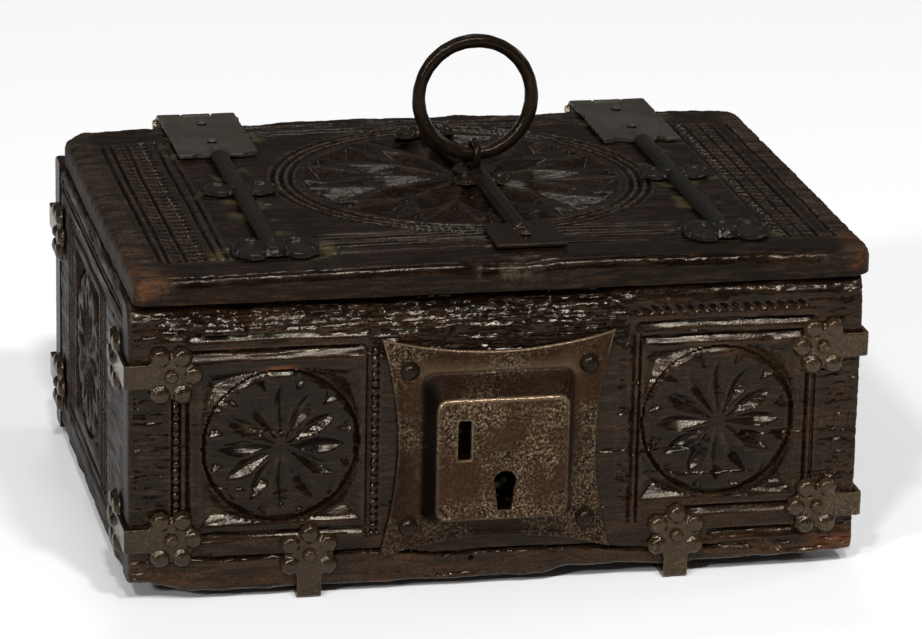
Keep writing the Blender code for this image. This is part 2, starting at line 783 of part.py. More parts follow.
def hinge_back_leaf():
    """Case half of a hinge; u runs across, v down the back and w outwards from the board."""
    length = HINGE_LEAF_DROP
    leaf = prism(rolled_leaf(length, knuckle_bore, HINGE_THICKNESS), -HINGE_WIDTH / 2, HINGE_WIDTH / 2)
    moved(leaf, frame((0, 0, 0), (0, 1, 0), (0, 0, 1)))
    middle = HINGE_MIDDLE / 2
    reach = knuckle_radius + RUN_GAP
    edge = HINGE_WIDTH / 2 + reach
    tools = []
    for side in (-1, 1):
        low, high = sorted((side * middle, side * edge))
        tools.append(box((low, -reach, -2 * reach), (high, 2 * reach, 2 * reach)))
    tools += [nail_hole(0, -drop, 0, 2 * knuckle_radius) for drop in leaf_nail_heights()]
    return cut(leaf, tools)


def hinge_pin():
    """A pin with both ends peened over, along u."""
    half = HINGE_WIDTH / 2 + RUN_GAP
    end = half + PIN_HEAD_LENGTH
    profile = [(0, -end), (PIN_HEAD_END, -end), (PIN_HEAD, -half), (HINGE_PIN_RADIUS, -half)]
    profile += [(HINGE_PIN_RADIUS, half), (PIN_HEAD, half), (PIN_HEAD_END, end), (0, end)]
    return moved(turned(profile, BARREL_STEPS), Matrix.Rotation(math.pi / 2, 4, "Y"))


def staple_hole(low, high):
    """The slot that both legs of the staple pass through."""
    half_u = STAPLE_WIRE + HOLE_GAP
    half_v = 2 * STAPLE_WIRE + STAPLE_LEG_GAP / 2 + HOLE_GAP
    return prism(rectangle(-half_u, half_u, -half_v, half_v), low, high)


def centre_strap():
    """The strap along the middle of the lid; u and v are measured from the staple."""
    front = centre_plate_front - EYE_Y
    back = centre_plate_back - EYE_Y
    half = CENTRE_PLATE_WIDTH / 2
    plate = prism(rectangle(-half, half, front, back), 0, HINGE_THICKNESS)
    clear = eye_radius + STAPLE_WIRE + RUN_GAP
    foot_radius = clear + STEM_RADIUS / 2
    foot = prism(circle((0, 0), foot_radius, DISC_STEPS), 0, HINGE_THICKNESS)
    front_leaves = ((0, CENTRE_LEAF_Y - EYE_Y), -math.pi / 2, CENTRE_LEAF_LENGTH)
    front_leaves += (CENTRE_LEAF_WIDTH, CENTRE_LEAF_HEIGHT)
    rear = (REAR_STEM_LENGTH * -math.sin(REAR_STEM_SKEW), REAR_STEM_LENGTH * math.cos(REAR_STEM_SKEW))
    rear_leaves = (rear, math.pi / 2 + REAR_STEM_SKEW, REAR_LEAF_LENGTH, LEAF_WIDTH, LEAF_HEIGHT)
    start = back - STEM_RADIUS * 2
    stem = forged_stem([(0, start), (0, -clear)], [front_leaves], [])
    toe = (rear[0] * clear / REAR_STEM_LENGTH, rear[1] * clear / REAR_STEM_LENGTH)
    tail = forged_stem([toe, rear], [rear_leaves], [])
    strap = fuse([plate, stem, foot, tail])
    tools = [staple_hole(-LID_THICKNESS, LID_THICKNESS)]
    tools.append(nail_hole(0, centre_nail_y() - EYE_Y, -LID_THICKNESS, LID_THICKNESS))
    return cut(strap, tools)


def tube(points, radius, cyclic):
    """A round wire along points in the plane x = 0."""
    curve = bpy.data.curves.new("wire", "CURVE")
    curve.dimensions = "3D"
    curve.bevel_depth = radius
    curve.bevel_resolution = WIRE_STEPS
    curve.use_fill_caps = True
    spline = curve.splines.new("POLY")
    spline.points.add(len(points) - 1)
    for point, (y, z) in zip(spline.points, points):
        point.co = (0, y, z, 1)
    spline.use_cyclic_u = cyclic
    holder = bpy.data.objects.new("wire", curve)
    bpy.context.scene.collection.objects.link(holder)
    graph = bpy.context.evaluated_depsgraph_get()
    mesh = bpy.data.meshes.new_from_object(holder.evaluated_get(graph))
    bpy.data.objects.remove(holder, do_unlink=True)
    bm = bmesh.new()
    bm.from_mesh(mesh)
    bmesh.ops.remove_doubles(bm, verts=bm.verts, dist=radius / 100)
    return mesh_object(bm)


def ring_staple():
    """A split staple: an eye above the lid and two legs clinched below it; the eye is the origin."""
    leg = STAPLE_WIRE + STAPLE_LEG_GAP / 2
    below = ring_axis_z - lid_bottom + SEAT_GAP + STAPLE_WIRE
    opening = math.asin(leg / eye_radius)
    eye = arc((0, 0), eye_radius, -math.pi / 2 + opening, 1.5 * math.pi - opening, 2 * ROUND)
    right = [(leg + STAPLE_CLINCH, -below), (leg, -below)]
    left = [(-leg, -below), (-leg - STAPLE_CLINCH, -below)]
    return tube(right + eye + left, STAPLE_WIRE, False)


def ring_handle():
    """The ring, hanging up from its lowest point, which is the origin; it turns about x."""
    bm = bmesh.new()
    rows = []
    for step in range(RING_STEPS):
        angle = 2 * math.pi * step / RING_STEPS
        row = []
        for side in range(ROUND):
            turn = 2 * math.pi * side / ROUND
            reach = ring_radius + RING_WIRE * math.cos(turn)
            x = reach * math.sin(angle)
            z = ring_radius - reach * math.cos(angle)
            row.append(bm.verts.new((x, RING_WIRE * math.sin(turn), z)))
        rows.append(row)
    for row, after in zip(rows, rows[1:] + rows[:1]):
        for side in range(ROUND):
            up = (side + 1) % ROUND
            bm.faces.new((row[side], row[up], after[up], after[side]))
    return mesh_object(bm)


def concave_outline(half_u, half_v, sag):
    """A four-pointed plate whose sides curve inwards."""
    points = []
    corners = [(-half_u, -half_v), (half_u, -half_v), (half_u, half_v), (-half_u, half_v)]
    for (u0, v0), (u1, v1) in zip(corners, corners[1:] + corners[:1]):
        for step in range(2 * CURVE_STEPS):
            share = step / (2 * CURVE_STEPS)
            dip = sag * 4 * share * (1 - share)
            u = u0 + (u1 - u0) * share
            v = v0 + (v1 - v0) * share
            inward = Vector((v0 - v1, u1 - u0)).normalized()
            points.append((u + inward.x * dip, v + inward.y * dip))
    return points


def rounded(u_low, u_high, v_low, v_high, radius):
    points = arc((u_high - radius, v_high - radius), radius, 0, math.pi / 2, CORNER_STEPS)
    points += arc((u_low + radius, v_high - radius), radius, math.pi / 2, math.pi, CORNER_STEPS)
    points += arc((u_low + radius, v_low + radius), radius, math.pi, 1.5 * math.pi, CORNER_STEPS)
    points += arc((u_high - radius, v_low + radius), radius, 1.5 * math.pi, 2 * math.pi, CORNER_STEPS)
    return points


def loft(lower, upper, low, high):
    """A solid between two outlines of as many points at two heights."""
    bm = bmesh.new()
    bottom = [bm.verts.new((*point, low)) for point in lower]
    top = [bm.verts.new((*point, high)) for point in upper]
    bm.faces.new(list(reversed(bottom)))
    bm.faces.new(top)
    for index in range(len(bottom)):
        after = (index + 1) % len(bottom)
        bm.faces.new((bottom[index], bottom[after], top[after], top[index]))
    return mesh_object(bm)


def keyhole(low, high):
    """A round head over a straight foot."""
    half = KEY_FOOT_WIDTH / 2
    lean = math.asin(half / KEY_HEAD_RADIUS)
    outline = arc((KEY_X, KEY_Z), KEY_HEAD_RADIUS, -math.pi / 2 + lean, 1.5 * math.pi - lean, 2 * ROUND)
    outline += [(KEY_X - half, KEY_Z - KEY_FOOT_DROP), (KEY_X + half, KEY_Z - KEY_FOOT_DROP)]
    return prism(outline, low, high)


def lock_nail_places():
    return [(u * LOCK_NAIL_X, v * LOCK_NAIL_Z) for v in (1, -1) for u in (-1, 1)]


def lock_plate():
    """Concave plate with a raised hollow case; u and v from its middle, w outwards from the board."""
    plate = prism(concave_outline(LOCK_HALF_WIDTH, LOCK_HALF_HEIGHT, LOCK_CONCAVITY), 0, LOCK_PLATE)
    foot = rounded(-LOCK_CASE_HALF, LOCK_CASE_HALF, -LOCK_CASE_LOW, LOCK_CASE_HIGH, LOCK_CORNER)
    face = rounded(-LOCK_FACE_HALF, LOCK_FACE_HALF, -LOCK_FACE_LOW, LOCK_FACE_HIGH, LOCK_CORNER)
    shell = loft(foot, face, LOCK_PLATE / 2, LOCK_PROUD)
    wall = LOCK_WALL
    inner_foot = rounded(wall - LOCK_CASE_HALF, LOCK_CASE_HALF - wall, wall - LOCK_CASE_LOW,
                         LOCK_CASE_HIGH - wall, LOCK_CORNER)
    inner_face = rounded(wall - LOCK_FACE_HALF, LOCK_FACE_HALF - wall, wall - LOCK_FACE_LOW,
                         LOCK_FACE_HIGH - wall, LOCK_CORNER)
    hollow = loft(inner_foot, inner_face, -LOCK_PLATE, LOCK_PROUD - wall)
    slot = rectangle(SLOT_X - SLOT_WIDTH / 2, SLOT_X + SLOT_WIDTH / 2,
                     SLOT_Z - SLOT_HEIGHT / 2, SLOT_Z + SLOT_HEIGHT / 2)
    tools = [hollow, prism(slot, LOCK_PROUD / 2, 2 * LOCK_PROUD), keyhole(LOCK_PROUD / 2, 2 * LOCK_PROUD)]
    tools += [nail_hole(u, v, -LOCK_PLATE, 2 * LOCK_PLATE) for u, v in lock_nail_places()]
    return cut(fuse([plate, shell]), tools)


def lock_bolt():
    """The sliding bolt, with the notch that the key catches; its tip is at u = 0."""
    half = BOLT_HEIGHT / 2
    length = GUIDE_RIGHT_X + GUIDE_WIDTH / 2 + BOLT_TRAVEL - bolt_tip()
    notch_low = KEY_X - bolt_tip() - BOLT_NOTCH / 2
    notch_high = notch_low + BOLT_NOTCH
    outline = [(0, half - BOLT_NOSE), (0, BOLT_NOSE - half), (BOLT_NOSE, -half), (notch_low, -half)]
    outline += [(notch_low, BOLT_NOTCH_DEPTH - half), (notch_high, BOLT_NOTCH_DEPTH - half)]
    outline += [(notch_high, -half), (length, -half), (length, half), (BOLT_NOSE, half)]
    return prism(outline, -BOLT_THICKNESS / 2, BOLT_THICKNESS / 2)


def bolt_tip():
    """Where the tip of the drawn bolt stands, just right of the slot."""
    return SLOT_X + SLOT_WIDTH / 2 + SEAT_GAP


def bolt_guide():
    """A bridge over the bolt with both feet on the inside of the lock's face, which is at w = 0."""
    inner = BOLT_HEIGHT / 2 + RUN_GAP
    outer = inner + GUIDE_METAL
    foot = outer + GUIDE_METAL
    under = BOLT_THICKNESS + RUN_GAP
    top = under + GUIDE_METAL
    outline = [(-foot, 0), (-inner, 0), (-inner, under), (inner, under), (inner, 0), (foot, 0)]
    outline += [(foot, GUIDE_METAL), (outer, GUIDE_METAL), (outer, top), (-outer, top)]
    outline += [(-outer, GUIDE_METAL), (-foot, GUIDE_METAL)]
    bridge = prism(outline, -GUIDE_WIDTH / 2, GUIDE_WIDTH / 2)
    turn = Matrix(((0, 0, 1, 0), (1, 0, 0, 0), (0, 1, 0, 0), (0, 0, 0, 1)))
    return moved(bridge, turn)


def lock_spring():
    """A leaf spring from the roof of the lock case down to the bolt, drawn from the bolt's middle line."""
    low = BOLT_HEIGHT / 2 + RUN_GAP
    high = LOCK_FACE_HIGH - LOCK_WALL - SLOT_Z - RUN_GAP
    under = []
    over = []
    for step in range(2 * CURVE_STEPS + 1):
        share = step / (2 * CURVE_STEPS)
        u = SPRING_LENGTH * (share - 0.5)
        rise = low + (high - SPRING_METAL - low) * (1 + math.cos(math.pi * share)) / 2
        under.append((u, rise))
        over.append((u, rise + SPRING_METAL))
    half = BOLT_THICKNESS / 2
    return prism(under + list(reversed(over)), -half, half)


def lock_key_pin():
    """The round pin on which a hollow key turns."""
    length = lock_depth - SEAT_GAP
    profile = [(0, 0), (KEY_PIN_COLLAR, 0), (KEY_PIN_COLLAR, LOCK_PLATE), (KEY_PIN_RADIUS, LOCK_PLATE)]
    profile += [(KEY_PIN_RADIUS, length - KEY_PIN_RADIUS), (KEY_PIN_RADIUS / 2, length), (0, length)]
    return turned(profile, ROUND)


def face_nail_places(side):
    """Nails for the strap flowers on the front (side 1) or back (side -1), as u and v on the board."""
    reach = CASE_WIDTH / 2 - FACE_FLOWER_REACH
    places = {}
    for name, u in (("left", -side * reach), ("right", side * reach)):
        places["upper_" + name] = (u, upper_strap_z)
        places["lower_" + name] = (u, LOWER_STRAP_Z)
    places["bottom_left"] = (side * bottom_strap_left, BOTTOM_FLOWER_Z)
    places["bottom_right"] = (side * bottom_strap_right, BOTTOM_FLOWER_Z)
    return places


def end_grooves(bm, centre):
    """Cutters for the reeds on either side of an end's roundel and the lines above and below it."""
    last = REED_FIRST + REED_STEP * (REEDS - 1)
    for reed in range(REEDS):
        for side in (-1, 1):
            u = centre[0] + side * (REED_FIRST + REED_STEP * reed)
            groove_cut(bm, (u, REED_FOOT), (u, REED_TOP), REED_WIDTH, REED_DEPTH, level_face)
    for height in END_LINE_HEIGHTS:
        ends = (centre[0] - last, height), (centre[0] + last, height)
        groove_cut(bm, *ends, REED_WIDTH, REED_DEPTH, level_face)


def carved_face(width, thickness, roundels, radius, nails, reeded=False):
    """A board with rosettes, the corner chips of their square fields, reeds and nail pockets."""
    shape = board(width, CASE_HEIGHT, thickness)
    tools = []
    if roundels:
        bm = bmesh.new()
        petal = (FACE_PETAL_WIDEST, FACE_PETAL_END, FACE_PETAL_DEPTH)
        chip = (FACE_CHIP_POINT, FACE_CHIP_FOOT, FACE_CHIP_HALF, FACE_CHIP_DEPTH)
        for centre in roundels:
            rosette(bm, centre, radius, petal, chip, level_face)
            spandrels(bm, centre, radius)
            if reeded:
                end_grooves(bm, centre)
        tools.append(mesh_object(bm))
    if nails:
        tools.append(nail_pockets(nails, 0, NAIL_GRIP))
    return cut(shape, tools)


def lid_board():
    """The crowned lid; u across and v to the back from its middle, w up from its underside."""
    half = lid_width / 2
    outline = [(-half, 0), (half, 0)]
    for step in range(CROWN_STEPS + 1):
        u = half - lid_width * step / CROWN_STEPS
        outline.append((u, crown(u)))
    shape = prism(outline, -lid_depth / 2, lid_depth / 2)
    moved(shape, frame((0, 0, 0), (1, 0, 0), (0, 0, 1)))
    return cut(shape, lid_carving() + lid_seats())


def lid_carving():
    """Cutters for a rosette inside grooved circles, the bands at both ends and the lines near the front."""
    centre = (LID_ROUNDEL_X - LID_SHIFT_RIGHT, LID_ROUNDEL_Y - lid_y)
    petal = (LID_PETAL_WIDEST, LID_PETAL_END, LID_PETAL_DEPTH)
    chip = (LID_CHIP_POINT, LID_CHIP_FOOT, LID_CHIP_HALF, LID_CHIP_DEPTH)
    rim = (LID_RIM_POINT, LID_RIM_FOOT, LID_RIM_HALF, LID_RIM_DEPTH)
    bm = bmesh.new()
    rosette(bm, centre, LID_ROUNDEL_RADIUS, petal, chip, crown)
    chip_ring(bm, centre, LID_ROUNDEL_RADIUS, 0, rim, crown)
    tools = [mesh_object(bm)]
    bm = bmesh.new()
    for ring in range(LID_RINGS):
        ring_groove(bm, centre, LID_ROUNDEL_RADIUS - LID_RING_STEP * ring, crown)
    tools.append(mesh_object(bm))
    bm = bmesh.new()
    half = lid_width / 2
    front = BAND_FRONT_INSET - lid_depth / 2
    back = lid_depth / 2 - BAND_BACK_INSET
    bands = [inset - half for inset in LEFT_BAND_INSETS] + [half - inset for inset in RIGHT_BAND_INSETS]
    for u in bands:
        groove_cut(bm, (u, front), (u, back), LINE_WIDTH, LINE_DEPTH, crown)
    for inset in FRONT_LINE_INSETS:
        v = inset - lid_depth / 2
        for start, end in FRONT_LINE_SPANS:
            groove_cut(bm, (start, v), (end, v), LINE_WIDTH, LINE_DEPTH, crown)
    tools.append(mesh_object(bm))
    return tools


def lid_seats():
    """Cutters for the flats let into the crown under the hinges, the nails and the staple."""
    tools = []
    seat = hinge_seat - lid_bottom
    high = 2 * LID_THICKNESS
    for x in (hinge_left, hinge_right):
        u = x - LID_SHIFT_RIGHT
        front = lobe_y - LOBE_WIDTH - lid_y
        tools.append(box((u - hinge_band, front, seat), (u + hinge_band, lid_depth, high)))
        places = [(u, v - lid_y) for v in hinge_nail_places()]
        tools.append(nail_pockets(places, seat, LID_NAIL_GRIP))
    u = CENTRE_X - LID_SHIFT_RIGHT
    tools.append(shifted(staple_hole(-high, high), u, EYE_Y - lid_y, 0))
    tools.append(nail_pockets([(u, centre_nail_y() - lid_y)], LID_THICKNESS, LID_NAIL_GRIP))
    return tools


def centre_nail_y():
    """Distance to the back of the nail in the centre plate."""
    return centre_plate_front + CENTRE_NAIL


# Places of the faces that carry iron

front_face = frame((0, front_y, case_base), (1, 0, 0), (0, 0, 1))
back_face = frame((0, back_y, case_base), (-1, 0, 0), (0, 0, 1))
left_face = frame((-CASE_WIDTH / 2, 0, case_base), (0, -1, 0), (0, 0, 1))
right_face = frame((CASE_WIDTH / 2, 0, case_base), (0, 1, 0), (0, 0, 1))
lock_face = front_face @ Matrix.Translation((LOCK_X, lock_z, 0))
level = Matrix.Identity(4)


def build_boards(case, wood):
    lock_nails = [(LOCK_X + u, lock_z + v) for u, v in lock_nail_places()]
    roundels = [left_roundel, right_roundel]
    nails = list(face_nail_places(1).values()) + lock_nails
    front = carved_face(CASE_WIDTH, FACE_BOARD, roundels, FACE_ROUNDEL_RADIUS, nails)
    finish(front, "front_board", case, front_face, wood)
    nails = list(face_nail_places(-1).values())
    for x in (hinge_left, hinge_right):
        nails += [(-x, hinge_z - drop - case_base) for drop in leaf_nail_heights()]
    back = carved_face(CASE_WIDTH, FACE_BOARD, [], 0, nails)
    finish(back, "back_board", case, back_face, wood)
    width = CASE_DEPTH - 2 * FACE_BOARD - 2 * SEAT_GAP
    for name, place, side in (("left_side_board", left_face, -1), ("right_side_board", right_face, 1)):
        roundels = [(side * END_ROUNDEL_BACK, end_roundel_z)]
        end = carved_face(width, SIDE_BOARD, roundels, END_ROUNDEL_RADIUS, [], reeded=True)
        finish(end, name, case, place, wood)
    half_x = CASE_WIDTH / 2 - SIDE_BOARD - SEAT_GAP
    half_y = CASE_DEPTH / 2 - FACE_BOARD - SEAT_GAP
    bottom = box((-half_x, -half_y, 0), (half_x, half_y, BOTTOM_BOARD))
    finish(bottom, "bottom_board", case, Matrix.Translation((0, 0, case_base)), wood)


def build_case_straps(case, iron):
    half_x = CASE_WIDTH / 2
    half_y = CASE_DEPTH / 2
    corners = (("front_left", -half_x, -half_y), ("front_right", half_x, -half_y),
               ("back_right", half_x, half_y), ("back_left", -half_x, half_y))
    shapes = [corner_strap(FACE_FLOWER_REACH, END_FLOWER_REACH, True)]
    shapes.append(corner_strap(END_FLOWER_REACH, FACE_FLOWER_REACH, False))
    for level_name, height in (("upper", upper_strap_z), ("lower", LOWER_STRAP_Z)):
        for turn, (corner, x, y) in enumerate(corners):
            place = Matrix.Translation((x, y, case_base + height))
            place = place @ Matrix.Rotation(turn * math.pi / 2, 4, "Z")
            twin = copy_of(shapes[turn % 2])
            finish(twin, "corner_strap_" + level_name + "_" + corner, case, place, iron)
    shapes.append(bottom_strap())
    for name, x in (("bottom_strap_left", bottom_strap_left), ("bottom_strap_right", bottom_strap_right)):
        finish(copy_of(shapes[2]), name, case, Matrix.Translation((x, 0, 0)), iron)
    for shape in shapes:
        bpy.data.objects.remove(shape, do_unlink=True)


def build_case_nails(case, iron):
    pattern = nail(FLOWER_NAIL_HEAD, FLOWER_NAIL_RISE, nail_reach(STRAP_THICKNESS, NAIL_GRIP))
    proud = 2 * SEAT_GAP + STRAP_THICKNESS
    for face_name, face, side in (("front", front_face, 1), ("back", back_face, -1)):
        for name, (u, v) in face_nail_places(side).items():
            place = face @ Matrix.Translation((u, v, proud))
            finish(copy_of(pattern), "strap_nail_" + face_name + "_" + name, case, place, iron)
    bpy.data.objects.remove(pattern, do_unlink=True)


def build_hinges(case, lid, iron):
    strap = hinge_strap()
    leaf = hinge_back_leaf()
    pin = hinge_pin()
    lid_nail = nail(PLATE_NAIL_HEAD, PLATE_NAIL_RISE, nail_reach(HINGE_THICKNESS, LID_NAIL_GRIP))
    leaf_nail = nail(PLATE_NAIL_HEAD, PLATE_NAIL_RISE, nail_reach(HINGE_THICKNESS, NAIL_GRIP))
    plate_top = hinge_base + HINGE_THICKNESS + SEAT_GAP
    proud = 2 * SEAT_GAP + HINGE_THICKNESS
    for side, x in (("left", hinge_left), ("right", hinge_right)):
        axis = Matrix.Translation((x, hinge_y, hinge_z))
        finish(copy_of(strap), "hinge_strap_" + side, lid, axis, iron)
        upright = frame((x, hinge_y, hinge_z), (1, 0, 0), (0, 0, 1))
        finish(copy_of(leaf), "hinge_back_leaf_" + side, case, upright, iron)
        finish(copy_of(pin), "hinge_pin_" + side, case, axis, iron)
        for row, y in zip(("rear", "front"), hinge_nail_places()):
            place = Matrix.Translation((x, y, plate_top))
            finish(copy_of(lid_nail), "hinge_nail_" + side + "_" + row, lid, place, iron)
        for row, drop in zip(("upper", "lower"), leaf_nail_heights()):
            place = back_face @ Matrix.Translation((-x, hinge_z - drop - case_base, proud))
            finish(copy_of(leaf_nail), "back_leaf_nail_" + side + "_" + row, case, place, iron)
    for shape in (strap, leaf, pin, lid_nail, leaf_nail):
        bpy.data.objects.remove(shape, do_unlink=True)


def build_centre(lid, iron):
    place = Matrix.Translation((CENTRE_X, EYE_Y, centre_base))
    finish(centre_strap(), "lid_centre_strap", lid, place, iron)
    spike = nail(PLATE_NAIL_HEAD, PLATE_NAIL_RISE, nail_reach(HINGE_THICKNESS, LID_NAIL_GRIP))
    top = centre_base + HINGE_THICKNESS + SEAT_GAP
    finish(spike, "centre_strap_nail", lid, Matrix.Translation((CENTRE_X, centre_nail_y(), top)), iron)
    eye = Matrix.Translation((CENTRE_X, EYE_Y, ring_axis_z))
    finish(ring_staple(), "ring_staple", lid, eye, iron)
    ring = carrier("ring_axis", lid, eye)
    finish(ring_handle(), "ring_handle", ring, eye @ Matrix.Rotation(-RING_LEAN, 4, "X"), iron)


def build_lock(case, rust, iron):
    seated = lock_face @ Matrix.Translation((0, 0, SEAT_GAP))
    finish(lock_plate(), "lock_plate", case, seated, rust)
    head = nail(LOCK_NAIL_HEAD, LOCK_NAIL_RISE, nail_reach(LOCK_PLATE, NAIL_GRIP))
    names = ("upper_left", "upper_right", "lower_left", "lower_right")
    for name, (u, v) in zip(names, lock_nail_places()):
        place = seated @ Matrix.Translation((u, v, LOCK_PLATE + SEAT_GAP))
        finish(copy_of(head), "lock_nail_" + name, case, place, iron)
    bpy.data.objects.remove(head, do_unlink=True)
    bolt_w = lock_depth - RUN_GAP - BOLT_THICKNESS / 2
    finish(lock_bolt(), "lock_bolt", case, seated @ Matrix.Translation((bolt_tip(), SLOT_Z, bolt_w)), iron)
    over = Matrix.Rotation(math.pi, 4, "X")
    for name, u in (("lock_bolt_guide_left", GUIDE_LEFT_X), ("lock_bolt_guide_right", GUIDE_RIGHT_X)):
        place = seated @ Matrix.Translation((u, SLOT_Z, lock_depth - SEAT_GAP)) @ over
        finish(bolt_guide(), name, case, place, iron)
    middle = (GUIDE_LEFT_X + GUIDE_RIGHT_X) / 2
    finish(lock_spring(), "lock_spring", case, seated @ Matrix.Translation((middle, SLOT_Z, bolt_w)), iron)
    finish(lock_key_pin(), "lock_key_pin", case, seated @ Matrix.Translation((KEY_X, KEY_Z, 0)), iron)


def build():
    for old in list(bpy.data.objects):
        bpy.data.objects.remove(old, do_unlink=True)
    wood = material("carved_wood", (0.045, 0.024, 0.014), 0.42, 0.0)
    iron = material("forged_iron", (0.075, 0.066, 0.058), 0.5, 0.85)
    rust = material("rusty_lock_iron", (0.11, 0.068, 0.042), 0.55, 0.7)
    root = bpy.data.objects.new("casket", None)
    root.location = (0, shift_y, 0)
    bpy.context.scene.collection.objects.link(root)
    case = (root, level)
    lid = carrier("lid_axis", case, Matrix.Translation((0, hinge_y, hinge_z)))
    build_boards(case, wood)
    finish(lid_board(), "lid_board", lid, Matrix.Translation((LID_SHIFT_RIGHT, lid_y, lid_bottom)), wood)
    build_case_straps(case, iron)
    build_case_nails(case, iron)
    build_hinges(case, lid, iron)
    build_centre(lid, iron)
    build_lock(case, rust, iron)


build()
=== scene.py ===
"""Looks of the carved casket: worn chip carving, forged iron, a rusty box lock and a pale studio."""
import json
import math

import bmesh
import bpy
import numpy as np
from mathutils import Matrix, Vector


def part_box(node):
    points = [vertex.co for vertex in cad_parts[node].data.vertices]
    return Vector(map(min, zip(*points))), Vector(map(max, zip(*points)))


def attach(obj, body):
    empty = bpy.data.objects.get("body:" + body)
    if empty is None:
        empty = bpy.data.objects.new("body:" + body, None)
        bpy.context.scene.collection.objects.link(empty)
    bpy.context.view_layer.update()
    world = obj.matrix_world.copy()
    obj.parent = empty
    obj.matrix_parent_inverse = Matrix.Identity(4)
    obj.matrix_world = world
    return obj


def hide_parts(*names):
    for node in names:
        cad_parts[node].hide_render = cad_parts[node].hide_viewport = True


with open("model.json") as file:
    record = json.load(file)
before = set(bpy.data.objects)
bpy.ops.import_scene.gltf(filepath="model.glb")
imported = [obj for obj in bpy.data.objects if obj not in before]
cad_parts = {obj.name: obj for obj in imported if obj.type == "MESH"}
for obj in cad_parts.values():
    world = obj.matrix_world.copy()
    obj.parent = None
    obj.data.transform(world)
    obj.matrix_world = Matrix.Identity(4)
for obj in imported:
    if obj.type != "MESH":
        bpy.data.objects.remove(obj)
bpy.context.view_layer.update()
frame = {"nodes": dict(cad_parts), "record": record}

# Sizes are in millimetres until a mesh is made
MM = 0.001

# Boards: steps of their grids, rows of their walls, and creases in degrees
FACE_STEP = 0.54
END_STEP = 0.66
BACK_STEP = 1.1
LID_STEP_X = 0.62
LID_STEP_Y = 0.84
WALL_ROWS = 6
BOARD_CREASE = 38
LID_CREASE = 70
# Height of the case's boards over the ground, and the least wood left behind a cut
CASE_BASE = 2.6
LEAST_WOOD = 2
# Inner ring of a board's back, as a share of its outline, and its shares of wear and painted light, dust, raw
# wood and dullness
BACK_INSET = 0.992
BACK_LOOK = (0.1, 0.0, 0.0, 0.7)

# Rosettes: radius, half the side of the square field round it, and centre
PETAL_COUNT = 12
HALF_TURN = math.pi / PETAL_COUNT
PETAL_BLUNTNESS = 1.8
ROUNDEL = 27.6
ROUNDEL_HALF = 28.4
FRONT_ROUNDELS = ((-77.0, 53.4), (78.6, 54.8))
END_ROUNDEL = 31.0
END_ROUNDEL_HALF = 31.9
END_ROUNDEL_CENTRE = (9.0, 54.5)
LID_ROUNDEL = 68.8
LID_ROUNDEL_CENTRE = (4.6, 8.6)
LID_RINGS = (LID_ROUNDEL, LID_ROUNDEL - 3.2, LID_ROUNDEL - 6.4)
LID_CROWN = 1.6
# Grid steps round a point that it is compared with, and how fast standing above them turns into wear and
# painted highlight, and lying below them into painted shade
RIDGE_REACH = 2
RIDGE_GAIN = 1.7

# Front: upright grooves by place and width, rows of beads, lines by height, width, depth and two ends
FRONT_UPRIGHTS = ((-109.4, 2.2), (-46.6, 2.0), (47.2, 2.4), (50.0, 1.8), (110.6, 2.0), (113.0, 1.6))
FRONT_BEADS = (-113.5, -44.0)
FRONT_LINES = ((88.2, 3.6, 2.3, -112, -48), (93.4, 1.8, 1.1, -110, -30), (22.0, 2.0, 1.3, -108, -46),
               (91.8, 2.6, 1.7, 48, 111), (86.6, 2.8, 1.8, 50, 111), (22.8, 3.2, 2.0, 68, 112),
               (13.6, 3.4, 2.1, 76, 113))
FRONT_ROPE = 96.6
# Ends: upright grooves by distance from the rosette's middle, lines by height and width, and a row of beads
END_UPRIGHTS = (36.0, 40.5, 45.0, 49.5)
END_LINES = ((90.6, 3.4), (18.0, 3.0), (13.2, 3.0))
END_BEADS = 98.4
# Lid: grooves and dotted rows across both ends by place, lines along front and back by place and two ends
LID_GROOVES = (-118.8, -115.8, -109.8, -98.8, -95.3, 100.2, 105.2, 110.2, 115.2, 121.8)
LID_DOTS = (-112.8, -107.3, -103.8, 102.7, 107.7, 112.7)
LID_LINES = ((-57.2, -62, 69), (-60.7, -62, 69), (-64.2, -62, 69), (-67.7, -97, 102), (-71.2, -97, 102),
             (-78.2, -118, 121), (75.0, -92, 98), (79.5, -92, 98), (84.0, -92, 98), (88.5, -92, 98))

# Iron of the lid
HINGE_SEAT = 117.97
HINGE_BASE = 118.27
HINGE_HALF = 15.0
HINGE_PLATE_FRONT = 47.7
HINGE_PLATE_BACK = 98.0
LEAF_Y = 0.7
LOBE_Y = -74.3
LEAF_SPREAD = math.radians(98)
CENTRE_BASE = 119.5
CENTRE_LEAF_Y = -2.3
REAR_LEAVES = (4.85, 66.5)
REAR_SKEW = math.radians(9)
# Half widths of a hinge's sunk seat at its plate, stem and leaves, and its reach round leaves and lobes
SEAT_PLATE = 15.2
SEAT_STEM = 4.2
SEAT_LEAF = 10
SEAT_LEAF_REACH = 5.0
SEAT_LOBE_REACH = 8.2
# Pairs of leaves: distance from their axis, length, width, hollow, rim and stretch
HINGE_LEAF = (6.9, 15, 8.5, 1.9, 0.7, 1.6)
HINGE_LOBE = (7.8, 17, 14.5, 2.4, 0.8, 1.5)
CENTRE_LEAF = (5.5, 12, 6.8, 1.5, 0.6, 1.5)
REAR_LEAF = (5.9, 12.8, 8.5, 1.6, 0.6, 1.3)
# Ring: its eye, lean in degrees, radius of the wire, and points round the ring and the wire
RING_EYE = (13.3, 13.2, 126.5)
RING_LEAN = 3.0
RING_WIRE = 2.65
RING_POINTS = 140
WIRE_POINTS = 24
# Remeshed irons: voxel size, rounds of smoothing and depth of dents
STRAP_BUILD = (0.5, 4, 0.22)
HINGE_BUILD = (0.55, 4, 0.15)
SMALL_BUILD = (0.5, 4, 0.12)
NAIL_BUILD = (0.34, 3, 0.05)

